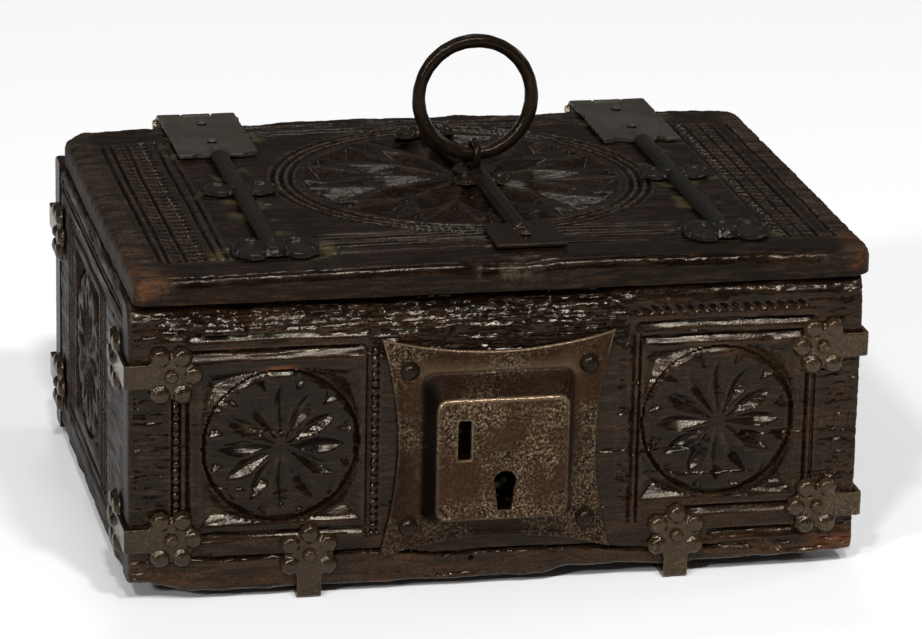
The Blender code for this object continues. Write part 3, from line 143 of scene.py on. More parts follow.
# Lock, measured from its centre on the front
LOCK_CENTRE = (-1.0, 53.4)
LOCK_HALF = (41.8, 40.5)
LOCK_SAG = 6.2
LOCK_SHEET = 1.5
LOCK_CREASE = 50
SIDE_POINTS = 48
CORNER_POINTS = 10
SLOT = (-13.6, 5.0)
SLOT_HALF = (2.3, 7.1)
KEYHOLE = (1.0, -10.8)
KEYHOLE_RADIUS = 4.0
KEYHOLE_FOOT = (2.4, 10.5)
LOCK_NAIL_RISE = 2.6
LOCK_NAIL_DOME = 3.1
LOCK_NAIL_HEAD = 3.5
NAIL_SHANK = 1.2
NAIL_SIDES = 32
# Loops of the plate's edge: inset, height, and looks: rubbing with a painted highlight, painted shade, and
# darkening towards the lower left; the rubbing and its painted highlight fade below the top
EDGE_LOOPS = ((0.6, 0.0, 0, 0, 0), (0, 0.5, 0, 0.6, 0), (0.05, LOCK_SHEET - 0.4, 0.9, 0, 0.5),
              (0.5, LOCK_SHEET, 0.9, 0, 0.5), (0.9, LOCK_SHEET, 0, 0, 0.6), (3.0, LOCK_SHEET, 0, 0, 0.6),
              (3.4, LOCK_SHEET - 0.15, 0, 0, 0.6), (3.8, LOCK_SHEET, 0, 0, 0.6))
EDGE_TOP = 35
# Loops of the raised case: half width, foot, top, corner, height over sheet or depth under face, and looks as
# in the edge loops, with painted shade in the crease at the foot
FOOT_LOOPS = ((28.0, -28.4, 27.6, 5.0, 0.0, (0.3, 0, 0.5)), (27.2, -27.6, 26.8, 4.6, 0.15, (0, 0.7, 0)),
              (26.6, -27.0, 26.2, 4.4, 0.7, (0, 1.0, 0)))
FOOT_TOP = 27.6
FACE_LOOPS = ((23.4, -24.4, 19.9, 4.0, 0.6, (0.6, 0.4, 0)), (23.0, -24.0, 19.5, 3.8, 0.18, (1.0, 0, 0)),
              (22.6, -23.6, 19.1, 3.6, 0, (0.5, 0, 0)), (21.8, -22.8, 18.3, 3.2, 0, (0, 0, 0)))
FACE_TOP = 19.9
# Half width, foot and top of the case's sloping sides, below and above
SLOPE_BELOW = (26.5, -26.9, 26.1)
SLOPE_ABOVE = (23.7, -24.7, 20.2)
SLOPE_CORNER = 4.2
# Growth, depth and wear of the successive loops of a hole in the lock's face
HOLE_STEPS = ((0.9, 0.0, 0.0), (0.5, 0.0, 0.3), (0.12, 0.25, 0.4), (0.0, 0.7, 0.1), (0.0, 1.6, 0.0))
# Works inside the lock, coloured near-black as painted shade
LOCK_WORKS_IN_SHADE = ("lock_bolt", "lock_bolt_guide_left", "lock_bolt_guide_right", "lock_spring", "lock_key_pin")

# Tint of the old wax in every reflection
WARM_WAX = (1.0, 0.88, 0.72)
# Colours of the wood
WOOD_DARK = (0.0026, 0.0014, 0.0008)
WOOD_BROWN = (0.011, 0.0052, 0.0024)
WOOD_FIBRE = (0.034, 0.0168, 0.0078)
WOOD_STREAK = (0.0052, 0.0027, 0.0014)
WOOD_CRUMB = (0.003, 0.0017, 0.0010)
WOOD_GRIME = (0.0022, 0.0014, 0.0009)
# Painted shade in the hollows of the carving
WOOD_HOLLOW_SHADE = (0.0011, 0.0007, 0.0005)
WOOD_BARE = (0.12, 0.037, 0.0095)
WOOD_DUST = (0.070, 0.056, 0.024)
# Woods: stretch of the fibres, least and most roughness, gloss, bump where dull, and the colour of wear and
# of the painted highlight on ridges
WOODS = {
    "wood_along": ((0.12, 1, 1), 0.13, 0.24, 0.2, 0.6, (0.046, 0.0228, 0.0110)),
    "wood_lid": ((0.12, 1, 1), 0.1, 0.26, 0.11, 0.9, (0.13, 0.098, 0.070)),
    "wood_across": ((1, 0.12, 1), 0.4, 0.6, 0.06, 0.4, (0.046, 0.0228, 0.0110)),
}
# Irons: dark, light and rusty colours, metal, least and most roughness, gloss, light specks,
# whether the shape's own edges are rubbed, and how much smoother stored places are
IRONS = {
    "strap_iron": ((0.008, 0.0048, 0.0025), (0.12, 0.079, 0.037), (0.031, 0.0163, 0.0072),
                   0.22, 0.16, 0.3, 0.48, 0.5, True, 0.0),
    "ring_iron": ((0.0045, 0.003, 0.0018), (0.036, 0.024, 0.014), (0.009, 0.005, 0.0027),
                  0.1, 0.12, 0.22, 0.14, 0.3, True, 0.0),
    "hinge_iron": ((0.052, 0.047, 0.040), (0.13, 0.118, 0.10), (0.040, 0.034, 0.027),
                   0.3, 0.32, 0.48, 0.12, 0.3, True, 0.2),
    "lock_iron": ((0.006, 0.0032, 0.0016), (0.25, 0.176, 0.108), (0.030, 0.0122, 0.0048),
                  0.42, 0.34, 0.5, 0.14, 0.85, False, 0.3),
    # Near-black iron for the lock's works, as painted shade
    "lock_works_in_shade": ((0.002, 0.0015, 0.0012), (0.005, 0.004, 0.003), (0.003, 0.002, 0.0015),
                    0.0, 0.8, 0.95, 0.02, 0.2, True, 0.0),
}
# Share of the dark colour that soot and painted shade take
SOOT_AND_SHADE_SHARE = 0.14
# Sockets of a Mix node that mixes colours
MIX_INPUTS = (0, 6, 7)
MIX_RESULT = 2

# Studio, in metres: lamps by azimuth from the front to the right, elevation, width, height and power
LAMP_DISTANCE = 6.0
LAMPS = (("key_far_left", -46, 25, 0.5, 0.44, 109), ("key_left", -29, 41, 0.5, 0.44, 109),
         ("key_middle", -6, 47, 0.5, 0.44, 109), ("key_right", 18, 50, 0.5, 0.44, 109),
         ("top_rear", 172, 62, 0.9, 0.5, 48), ("fill_right", 105, 28, 1.6, 1.2, 45))
FLOOR_HALF = 6.0
FLOOR_COLOUR = (0.95, 0.95, 0.95)
# Strength of the room's light, between two heights of the view
ROOM_HEIGHTS = (0.2, 0.9)
ROOM_STRENGTHS = (0.06, 0.22)

# Camera, fitted to the photograph; its pixels are those of a 922 by 639 image
IMAGE_WIDTH = 922
FOCAL_PIXELS = 4735.3
SENSOR = 36.0
AZIMUTH = -12.30
ELEVATION = 17.64
ROLL = math.radians(1.22)
DISTANCE = 1737.9
TARGET = (7.03, 1.7, 66.7)
NEAREST = 0.05

body_of = {node: body for body, nodes in frame["record"]["behaviour"]["bodies"].items() for node in nodes}


# Smooth shapes and noise on arrays

def joined(*parts):
    """Arrays or numbers side by side along a new last axis."""
    return np.stack(np.broadcast_arrays(*parts), axis=-1)


def ramp(value, low, high):
    return np.clip((value - low) / (high - low), 0.0, 1.0)


def smooth(value, low, high):
    share = ramp(value, low, high)
    return share * share * (3 - 2 * share)


def between(value, low, high, soft):
    """1 between two values and 0 outside, with soft ends."""
    return smooth(value, low - soft, low + soft) * (1 - smooth(value, high - soft, high + soft))


def noise(cells, seed):
    """Smooth noise from -1 to 1 at places counted in cells."""
    count = cells.shape[-1]
    cells = cells - cells.reshape(-1, count).min(axis=0)
    base = np.floor(cells).astype(int)
    lattice = np.random.default_rng(seed).uniform(-1, 1, tuple(base.reshape(-1, count).max(axis=0) + 2))
    part = cells - base
    part = part * part * (3 - 2 * part)
    total = 0
    for corner in np.ndindex(*(2,) * count):
        share = np.where(np.array(corner) == 1, part, 1 - part).prod(axis=-1)
        total += share * lattice[tuple(np.moveaxis(base + np.array(corner), -1, 0))]
    return total


def layered(u, v, size_u, size_v, seed, layers=3):
    """Noise on a face, in layers that halve in size and strength from the given cells."""
    total = 0
    weight = 0
    for layer in range(layers):
        share = 0.5 ** layer
        total += share * noise(joined(u / (size_u * share), v / (size_v * share)), seed + layer)
        weight += share
    return total / weight


def wavy(line, size, seed, layers=3):
    """Layered noise along one coordinate."""
    return layered(line, line * 0, size, 1, seed, layers)


def patches(u, v, size_u, size_v, seed, low, high):
    """Layered noise as soft patches from 0 to 1."""
    return smooth(layered(u, v, size_u, size_v, seed), low, high)


# Cuts of the carver, each as a depth

def vee(distance, width, depth):
    return depth * np.clip(1 - np.abs(distance) * 2 / width, 0, 1)


def facet(distance, below, above, depth):
    """A groove with a broad side below its line and a steep one above."""
    return depth * np.clip(np.minimum(1 + distance / below, 1 - distance / above), 0, 1)


def polar(u, v, turn):
    """Distance along and across the nearest spoke, and the tangent of half a petal's angle."""
    sector = 2 * np.pi / PETAL_COUNT
    radius = np.hypot(u, v)
    angle = (np.arctan2(v, u) - turn + sector / 2) % sector - sector / 2
    return radius * np.cos(angle), np.abs(radius * np.sin(angle)), math.tan(sector / 2)


def petals(u, v, start, widest, end, fill, slope):
    """Leaf-shaped chips, deepest on their spokes."""
    along, across, opening = polar(u, v, 0)
    inner = ramp(along, start, widest)
    outer = 1 - ramp(along, widest, end) ** PETAL_BLUNTNESS
    half = fill * widest * opening * np.where(along < widest, inner, outer)
    return slope * np.clip(half - across, 0, None)


def chips(u, v, inner, outer, fill, turn, slope):
    """A ring of three-sided chips that point inwards."""
    along, across, opening = polar(u, v, turn)
    length = outer - inner
    base = outer - along
    half = fill * outer * opening
    side = (half * (1 - base / length) - across) * length / math.hypot(length, half)
    return slope * np.clip(np.minimum(base, side), 0, None)


def rope(along, across, half, pitch, slant, depth):
    """A line of slanting nicks."""
    phase = ((along + across * slant) / pitch) % 1.0
    return depth * (1 - np.abs(2 * phase - 1)) * np.clip(1 - (across / half) ** 2, 0, 1)


def beads(along, across, half, pitch, depth):
    """A sunk line with a row of round grains left standing in it."""
    near = (along / pitch) % 1.0 * pitch - pitch / 2
    grain = np.sqrt(np.clip(1 - (near ** 2 + across ** 2) / half ** 2, 0, 1))
    return depth * (np.abs(across) < half) * (1 - grain)


def dentils(along, across, half, pitch, share, depth):
    """A row of small pits with sloping sides."""
    phase = np.abs((along / pitch) % 1.0 - 0.5) * 2
    return depth * np.clip((share - phase) / share, 0, 1) * np.clip(1.4 - 1.4 * np.abs(across) / half, 0, 1)


def ledges(v, pitch, depth):
    """Rows that lean back as they rise and then drop forward, like torn fibres."""
    phase = (v / pitch) % 1.0
    return depth * np.minimum(phase / 0.8, (1 - phase) / 0.2)


def roundel(u, v, radius, half):
    """A square field with a carved disc and four sloping corner chips."""
    reach = np.hypot(u, v)
    square = np.maximum(np.abs(u), np.abs(v))
    corner = np.clip(np.minimum(0.66 * (half - square), 0.8 * (reach - radius)), 0, 3.4)
    disc = 0.3 + 0.7 * np.clip(reach - radius + 2.6, 0, None)
    scale = radius / ROUNDEL
    flower = petals(u, v, 1.0 * scale, 13.5 * scale, 23.0 * scale, 0.96, 0.66)
    tips = chips(u, v, 19.8 * scale, 26.6 * scale, 0.52, HALF_TURN, 0.7)
    face = np.maximum(disc, 0.3 + np.maximum(flower, tips))
    field = np.where(reach < radius, face, corner)
    return np.where(square < half, field, 0)


def flaked(u, v, size_u, size_v, seed, steps):
    """Torn fibres, from 0 to 1: level shelves with sharp borders."""
    level = layered(u, v, size_u, size_v, seed, 4) * steps
    base = np.floor(level)
    return np.clip(0.5 + 0.5 * (base + smooth(level - base, 0.55, 0.95)) / steps, 0, 1)


def ridges(depth):
    """How far each point stands above its surroundings, from -1 to 1."""
    rows, columns = depth.shape
    near = np.pad(depth, RIDGE_REACH, mode="edge")
    size = 2 * RIDGE_REACH + 1
    total = np.zeros_like(depth)
    for down in range(size):
        for across in range(size):
            total += near[down:down + rows, across:across + columns]
    return np.clip((total / size ** 2 - depth) * RIDGE_GAIN, -1, 1)


def rounding(distance, radius):
    """How far an edge falls away at a distance from it."""
    inside = np.clip(radius - distance, 0, radius)
    return radius - np.sqrt(np.clip(radius ** 2 - inside ** 2, 0, None))


def cracks(u, v, count, seed, length, depth):
    """Drying cracks that run with the grain along u."""
    rng = np.random.default_rng(seed)
    total = np.zeros_like(u)
    for _ in range(count):
        mid = rng.uniform(u.min(), u.max())
        height = rng.uniform(v.min(), v.max())
        reach = length * rng.uniform(0.3, 1.0) / 2
        sway = rng.uniform(-0.03, 0.03)
        deep = depth * rng.uniform(0.4, 1.0)
        line = height + sway * (u - mid) + 0.7 * np.sin(u / rng.uniform(5, 14) + rng.uniform(0, 6))
        fade = np.clip(1 - ((u - mid) / reach) ** 2, 0, 1)
        total = np.maximum(total, vee(v - line, 1.1, deep) * fade)
    return total


def holes(u, v, count, seed, depth):
    """Worm holes."""
    rng = np.random.default_rng(seed)
    total = np.zeros_like(u)
    for _ in range(count):
        mid_u = rng.uniform(u.min(), u.max())
        mid_v = rng.uniform(v.min(), v.max())
        radius = rng.uniform(0.7, 1.1)
        total = np.maximum(total, depth * np.clip(2 - 2 * np.hypot(u - mid_u, v - mid_v) / radius, 0, 1))
    return total


# Meshes

def measured(node):
    """A node's lowest and highest corners in metres and its sizes in millimetres."""
    low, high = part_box(node)
    return low, high, [(top - bottom) / MM for bottom, top in zip(low, high)]


def show(thing):
    bpy.context.scene.collection.objects.link(thing)


def shade(mesh, crease):
    """Smooth shading that keeps creases above an angle in degrees."""
    mesh.shade_smooth()
    mesh.set_sharp_from_angle(angle=math.radians(crease))


def mesh_of(name, points, quads, triangles):
    """A mesh from arrays of points in millimetres and corner numbers."""
    mesh = bpy.data.meshes.new(name)
    corners = np.concatenate((quads.ravel(), triangles.ravel())).astype(np.int32)
    sizes = np.concatenate((np.full(len(quads), 4), np.full(len(triangles), 3)))
    starts = np.concatenate(([0], np.cumsum(sizes)[:-1])).astype(np.int32)
    mesh.vertices.add(len(points))
    mesh.vertices.foreach_set("co", (points * MM).ravel())
    mesh.loops.add(len(corners))
    mesh.loops.foreach_set("vertex_index", corners)
    mesh.polygons.add(len(sizes))
    mesh.polygons.foreach_set("loop_start", starts)
    mesh.update(calc_edges=True)
    mesh.validate()
    return mesh


def paint(mesh, values):
    """Store four shares of each point for the materials: on wood, wear with painted highlight on ridges and
    painted shade in hollows, then dust, raw and dull; on iron, rubbing with painted highlight, then soot with
    painted shade.
    """
    layer = mesh.attributes.new("look", "FLOAT_COLOR", "POINT")
    layer.data.foreach_set("color", values.astype(np.float32).ravel())


def quads_of(index):
    """Quads between neighbours in a grid of point numbers."""
    return joined(index[:-1, :-1], index[:-1, 1:], index[1:, 1:], index[1:, :-1]).reshape(-1, 4)


def stand(origin, u_axis, v_axis):
    """A matrix that takes u, v and the outward w to the row's frame."""
    u_axis = Vector(u_axis)
    v_axis = Vector(v_axis)
    turn = Matrix((u_axis, v_axis, u_axis.cross(v_axis))).transposed().to_4x4()
    return np.array(Matrix.Translation(origin) @ turn)


def slab(name, node, face, look, back, place, stuff, crease=BOARD_CREASE):
    """A board with a dense outer face, worn walls and a flat back, in place of a node."""
    rows, columns = face.shape[:2]
    front = face.reshape(-1, 3)
    index = np.arange(rows * columns).reshape(rows, columns)
    rim = np.concatenate((index[0], index[1:, -1], index[-1, -2::-1], index[-2:0:-1, 0]))
    edge = front[rim]
    look = look.reshape(-1, 4)
    colours = [look]
    points = [front]
    quads = [quads_of(index)]
    last = rim
    count = len(front)
    for row in range(1, WALL_ROWS + 1):
        share = row / WALL_ROWS
        ring = edge.copy()
        ring[:, 2] = edge[:, 2] * (1 - share) + back * share
        points.append(ring)
        colours.append(look[rim] * (1 - share, 1 - share, 1 - share, 1))
        here = np.arange(count, count + len(rim))
        quads.append(joined(np.roll(last, -1), last, here, np.roll(here, -1)))
        last = here
        count += len(rim)
    middle = np.array((edge[:, 0].mean(), edge[:, 1].mean(), back))
    points.append(middle + (ring - middle) * BACK_INSET)
    points.append(middle[None, :])
    colours.append(np.tile(BACK_LOOK, (len(rim) + 1, 1)))
    here = np.arange(count, count + len(rim))
    quads.append(joined(np.roll(last, -1), last, here, np.roll(here, -1)))
    triangles = joined(np.roll(here, -1), here, count + len(rim))
    points = np.concatenate(points)
    points = points @ place[:3, :3].T + place[:3, 3]
    mesh = mesh_of(name, points, np.concatenate(quads), triangles)
    paint(mesh, np.concatenate(colours))
    shade(mesh, crease)
    dress(name, mesh, node, stuff)


def dress(name, mesh, node, stuff):
    """A piece that stands for a node, rides on its body and has its finish."""
    mesh.materials.clear()
    mesh.materials.append(stuff)
    piece = bpy.data.objects.new(name, mesh)
    show(piece)
    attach(piece, body_of[node])
    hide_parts(node)


def squeezed(v, low, high, band, bottom, top):
    """Rows of a board moved so that its lower and upper edges follow worn outlines."""
    v = np.where(v < low + band, bottom + (v - low) * (band - (bottom - low)) / band, v)
    return np.where(v > high - band, top - (high - v) * (band - (high - top)) / band, v)


def face_grid(width, height, step):
    columns = int(width / step) + 1
    rows = int(height / step) + 1
    return np.meshgrid(np.linspace(-width / 2, width / 2, columns), np.linspace(0, height, rows))


# Boards

def grain_relief(u, v, seed):
    """Shallow unevenness along the grain."""
    fine = 0.5 + 0.5 * layered(u, v, 30, 1.3, seed)
    broad = 0.5 + 0.5 * layered(u, v, 40, 18, seed + 5)
    pores = np.clip(1 - 2.2 * np.abs(layered(u, v, 24, 2.0, seed + 9, 2)), 0, 1) ** 3
    return 0.08 * fine + 0.22 * broad + 0.21 * pores


def front_board(stuff):
    """Two rosettes in frames, a weathered rail above them and a worn foot."""
    low, _, (width, thickness, height) = measured("front_board")
    u, v = face_grid(width, height, FACE_STEP)
    line = u[0]
    ragged = wavy(line, 7, 11)
    bottom = 0.5 + 0.5 * ragged + 4.6 * smooth(-line, 100, 130) + 2.2 * between(line, 22, 58, 6)
    bottom += 1.9 * smooth(line, 58, 74) + 1.0 * smooth(line, 112, 130)
    top = height - 0.5 - 0.5 * wavy(line, 9, 12)
    v = squeezed(v, 0, height, 14, np.clip(bottom, 0, None), np.clip(top, 0, height))
    depth = front_carving(u, v)
    depth *= 1 - 0.15 * patches(u, v, 20, 9, 21, -0.1, 0.7)
    edges = ridges(depth)
    shabby = 0.5 * smooth(v, 93, 99) * smooth(u, 25, 50) + 0.35 * (1 - smooth(v, 7, 15))
    shabby = np.maximum(shabby, 0.8 * smooth(np.abs(u), 112, 120) * (1 - between(v, 84, 94, 4)))
    shabby = np.maximum(shabby, 0.9 * between(u, 42, 47, 1) * between(v, 22, 88, 4))
    torn = flaked(u, v, 13, 2.4, 31, 4) + 0.25 * layered(u, v, 2.2, 0.9, 33, 2)
    depth += 1.6 * shabby * np.clip(torn, 0, None)
    weathered = between(v, 93.5, 104.5, 1.2) * between(u, -118, 44, 5)
    weathered = np.maximum(weathered, 0.7 * between(v, 84, 94, 1) * between(u, -46, 46, 2))
    fibres = 0.4 * flaked(u, v, 9, 2.0, 34, 4) + 0.28 * np.abs(layered(u, v, 2.4, 1.3, 35, 2))
    depth += weathered * fibres
    shelves = ledges(v + 1.1 * layered(u, v, 9, 4, 36), 1.9, 1.0)
    depth += weathered * shelves * (0.85 + 0.35 * layered(u, v, 4, 3, 37))
    seam_v = 13.2 - 2.4 * smooth(u, -40, -20) - 3.0 * smooth(u, 30, 60)
    seam = vee(v - seam_v - 0.9 * wavy(u, 22, 57), 1.6, 2.2) * between(u, -112, 125, 5)
    depth += seam * smooth(wavy(u, 18, 58), -0.7, 0.0)
    depth += grain_relief(u, v, 41) + cracks(u, v, 34, 51, 60, 0.9) + holes(u, v, 9, 61, 1.6)
    edge = rounding(np.minimum(u + width / 2, width / 2 - u), 1.6)
    slope = 1 - 0.5 * smooth(u, 20, 60)
    edge += slope * rounding(top - v, 8.0) + rounding(v - bottom, 2.2)
    face = joined(u, v, -np.clip(depth + edge, 0, thickness - LEAST_WOOD))
    raw = 0.8 * smooth(u, 108, 128) * (1 - smooth(v, 2, 16))
    raw += 0.5 * patches(u, v, 16, 5, 71, 0.45, 0.8) * (1 - smooth(v, 6, 22))
    raw += 0.8 * between(u, -82, -72, 2) * between(v, 80.5, 82.4, 0.6)
    wear_and_light = patches(u, v, 24, 8, 81, 0.1, 0.75) * 0.6 + 0.6 * (1 - smooth(v, seam_v - 2, seam_v))
    # Ridges are painted lighter as a painted highlight and hollows darker as painted shade
    wear_and_light += 0.15 * smooth(u, 30, 60) + 0.9 * edges
    dust = 0.4 * smooth(depth, 1.2, 2.8) * patches(u, v, 12, 12, 91, 0.1, 0.7)
    # The rosettes' sunk discs are painted darker, as painted shade
    for centre_u, centre_v in FRONT_ROUNDELS:
        wear_and_light -= 0.3 * (1 - smooth(np.hypot(u - centre_u, v - centre_v), ROUNDEL - 4, ROUNDEL))
    dull = 0.8 * smooth(np.abs(u), 127, 129.5)
    look = joined(np.clip(wear_and_light, -1, 1), dust, raw, dull)
    place = stand((0, low.y / MM, CASE_BASE), (1, 0, 0), (0, 0, 1))
    slab("front_board_carved", "front_board", face, look, -thickness, place, stuff)


def front_carving(u, v):
    """Depth of the two rosettes, their frames and the lines above and below them."""
    upright = between(v, 19, 88, 1.5)
    cuts = [roundel(u - mid_u, v - mid_v, ROUNDEL, ROUNDEL_HALF) for mid_u, mid_v in FRONT_ROUNDELS]
    cuts += [vee(u - place_u, broad, 1.2) * upright for place_u, broad in FRONT_UPRIGHTS]
    cuts += [beads(v, u - place_u, 1.5, 2.9, 1.2) * upright for place_u in FRONT_BEADS]
    for place_v, broad, deep, start, end in FRONT_LINES:
        wander = 0.35 * wavy(u, 16, int(place_v * 10))
        cuts.append(facet(v - place_v + wander, broad, 0.9, deep) * between(u, start, end, 2))
    cuts.append(rope(u, v - FRONT_ROPE, 1.7, 4.1, 1.4, 1.4) * between(u, 46, 110, 3))
    return np.maximum.reduce(cuts)


def end_board(node, side, stuff):
    """A rosette between upright grooves; side is -1 on the left and 1 on the right."""
    low, high, (thickness, width, height) = measured(node)
    u, v = face_grid(width, height, END_STEP)
    seed = 200 if side < 0 else 300
    line = u[0]
    bottom = 0.5 + 0.5 * wavy(line, 8, seed) + 3.0 * smooth(side * -line, 60, 84)
    bottom = np.clip(bottom, 0, None)
    top = height - 0.4 - 0.4 * wavy(line, 9, seed + 1)
    v = squeezed(v, 0, height, 12, bottom, top)
    side_u, side_v = u - side * END_ROUNDEL_CENTRE[0], v - END_ROUNDEL_CENTRE[1]
    upright = between(v, 14, 92, 1.5)
    inside = between(side_u, -50, 50, 1.5)
    cuts = [roundel(side_u, side_v, END_ROUNDEL, END_ROUNDEL_HALF)]
    cuts += [vee(np.abs(side_u) - offset, 3.2, 1.5) * upright for offset in END_UPRIGHTS]
    cuts += [vee(v - height_v, broad, 1.4) * inside for height_v, broad in END_LINES]
    cuts.append(beads(u, v - END_BEADS, 1.7, 3.2, 1.3) * between(np.abs(u), -1, 80, 1))
    depth = np.maximum.reduce(cuts)
    depth *= 1 - 0.2 * patches(u, v, 22, 10, seed + 2, 0, 0.7)
    edges = ridges(depth)
    shabby = smooth(v, 101, 104) + 0.8 * (1 - smooth(v, 5, 12)) + 0.5 * smooth(np.abs(side_u), 60, 70)
    depth += 1.3 * shabby * flaked(u, v, 12, 2.4, seed + 3, 4)
    depth += grain_relief(u, v, seed + 4) + cracks(u, v, 18, seed + 5, 50, 0.8)
    depth += holes(u, v, 4, seed + 6, 1.6)
    edge = rounding(top - v, 2.4) + rounding(v - bottom, 2.0)
    face = joined(u, v, -np.clip(depth + edge, 0, thickness - LEAST_WOOD))
    # Wear, with ridges lighter as a painted highlight and hollows darker as painted shade
    wear_and_light = np.clip(patches(u, v, 24, 8, seed + 7, 0.25, 0.8) * 0.6 + 0.8 * edges, -1, 1)
    dust = 0.4 * smooth(depth, 1.2, 2.8) * patches(u, v, 12, 12, seed + 8, 0.1, 0.7)
    look = joined(wear_and_light, dust, 0, 0)
    mid_y = (low.y + high.y) / 2 / MM
    outer = (low.x if side < 0 else high.x) / MM
    place = stand((outer, mid_y, CASE_BASE), (0, side, 0), (0, 0, 1))
    slab(node + "_carved", node, face, look, -thickness, place, stuff)


def back_board(stuff):
    """A plain weathered board."""
    _, high, (width, thickness, height) = measured("back_board")
    u, v = face_grid(width, height, BACK_STEP)
    line = u[0]
    bottom = np.clip(0.5 + 0.5 * wavy(line, 8, 401), 0, None)
    top = height - 0.4 - 0.4 * wavy(line, 9, 402)
    v = squeezed(v, 0, height, 12, bottom, top)
    depth = grain_relief(u, v, 403) * 1.6 + cracks(u, v, 40, 404, 80, 0.9) + holes(u, v, 12, 405, 1.6)
    depth += 0.8 * flaked(u, v, 34, 4, 406, 3)
    edge = rounding(np.minimum(u + width / 2, width / 2 - u), 1.8)
    edge += rounding(top - v, 2.6) + rounding(v - bottom, 2.0)
    face = joined(u, v, -np.clip(depth + edge, 0, thickness - LEAST_WOOD))
    wear_and_light = patches(u, v, 30, 10, 407, 0.1, 0.8)
    look = joined(wear_and_light * 0.7, 0, 0, 0.6)
    place = stand((0, high.y / MM, CASE_BASE), (-1, 0, 0), (0, 0, 1))
    slab("back_board_worn", "back_board", face, look, -thickness, place, stuff)


def strap_distance(u, v, middle_u, middle_v):
    """How far a point of the lid is from the nearest edge of a hinge strap."""
    far = np.full_like(u, 1e3)
    for strap in ("hinge_strap_left", "hinge_strap_right"):
        low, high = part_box(strap)
        aside = np.abs(u - ((low.x + high.x) / 2 / MM - middle_u))
        plate_v = np.maximum(HINGE_PLATE_FRONT - middle_v - v, 0)
        plate = np.hypot(np.maximum(aside - SEAT_PLATE, 0), plate_v)
        stem_v = np.maximum(low.y / MM - middle_v - v, 0)
        stem = np.hypot(np.maximum(aside - SEAT_STEM, 0), stem_v)
        leaf = np.maximum(aside - SEAT_LEAF, 0)
        pair = np.hypot(leaf, v - LEAF_Y + middle_v) - SEAT_LEAF_REACH
        lobes = np.hypot(leaf, v - LOBE_Y + middle_v) - SEAT_LOBE_REACH
        far = np.minimum.reduce((far, plate, stem, pair, lobes))
    return np.maximum(far, 0)


def lid_outline(v, width, span):
    """How far the lid reaches to the left and right of its middle at each row."""
    reach = {}
    for side, front, rear, seed in ((-1, 6.0, 17.0, 503), (1, 11.0, 9.0, 504)):
        past = np.clip(-v - (span / 2 - front), 0, front)
        far = width / 2 - front + np.sqrt(front ** 2 - past ** 2)
        past = np.clip(v - (span / 2 - rear), 0, rear)
        far -= 0.75 * (rear - np.sqrt(rear ** 2 - past ** 2))
        reach[side] = far - 0.4 - 0.4 * wavy(v, 10, seed)
    return reach


def lid_carving(u, v):
    """Depth of the great rosette, the dotted bands at both ends and the lines along front and back."""
    ring_u, ring_v = u - LID_ROUNDEL_CENTRE[0], v - LID_ROUNDEL_CENTRE[1]
    radius = np.hypot(ring_u, ring_v)
    flower = petals(ring_u, ring_v, 3, 27, 46, 0.94, 0.5)
    star = chips(ring_u, ring_v, 30, 58, 0.66, HALF_TURN, 0.55)
    rim = chips(ring_u, ring_v, 47, 58, 0.34, 0, 0.7)
    inside = radius < LID_ROUNDEL - 8
    outside = smooth(radius, LID_ROUNDEL + 1.2, LID_ROUNDEL + 2.2)
    lengthwise = between(v, -78, 73, 1.0) * outside
    cuts = [np.where(inside, cut, 0) for cut in (flower, star, rim)]
    cuts += [vee(radius - ring, 2.3, 1.6) for ring in LID_RINGS]
    for place_u in LID_GROOVES:
        wander = 0.4 * wavy(v, 30, int(900 + place_u))
        cuts.append(vee(u - place_u + wander, 1.6, 1.2) * lengthwise)
    for place_u in LID_DOTS:
        cuts.append(dentils(v + 0.5 * (u - place_u), u - place_u, 2.0, 4.6, 0.8, 1.6) * lengthwise)
    for place_v, start, end in LID_LINES:
        wander = 0.5 * wavy(u, 40, int(600 + place_v))
        cuts.append(vee(v - place_v + wander, 1.8, 1.2) * between(u, start, end, 2) * outside)
    return np.maximum.reduce(cuts)


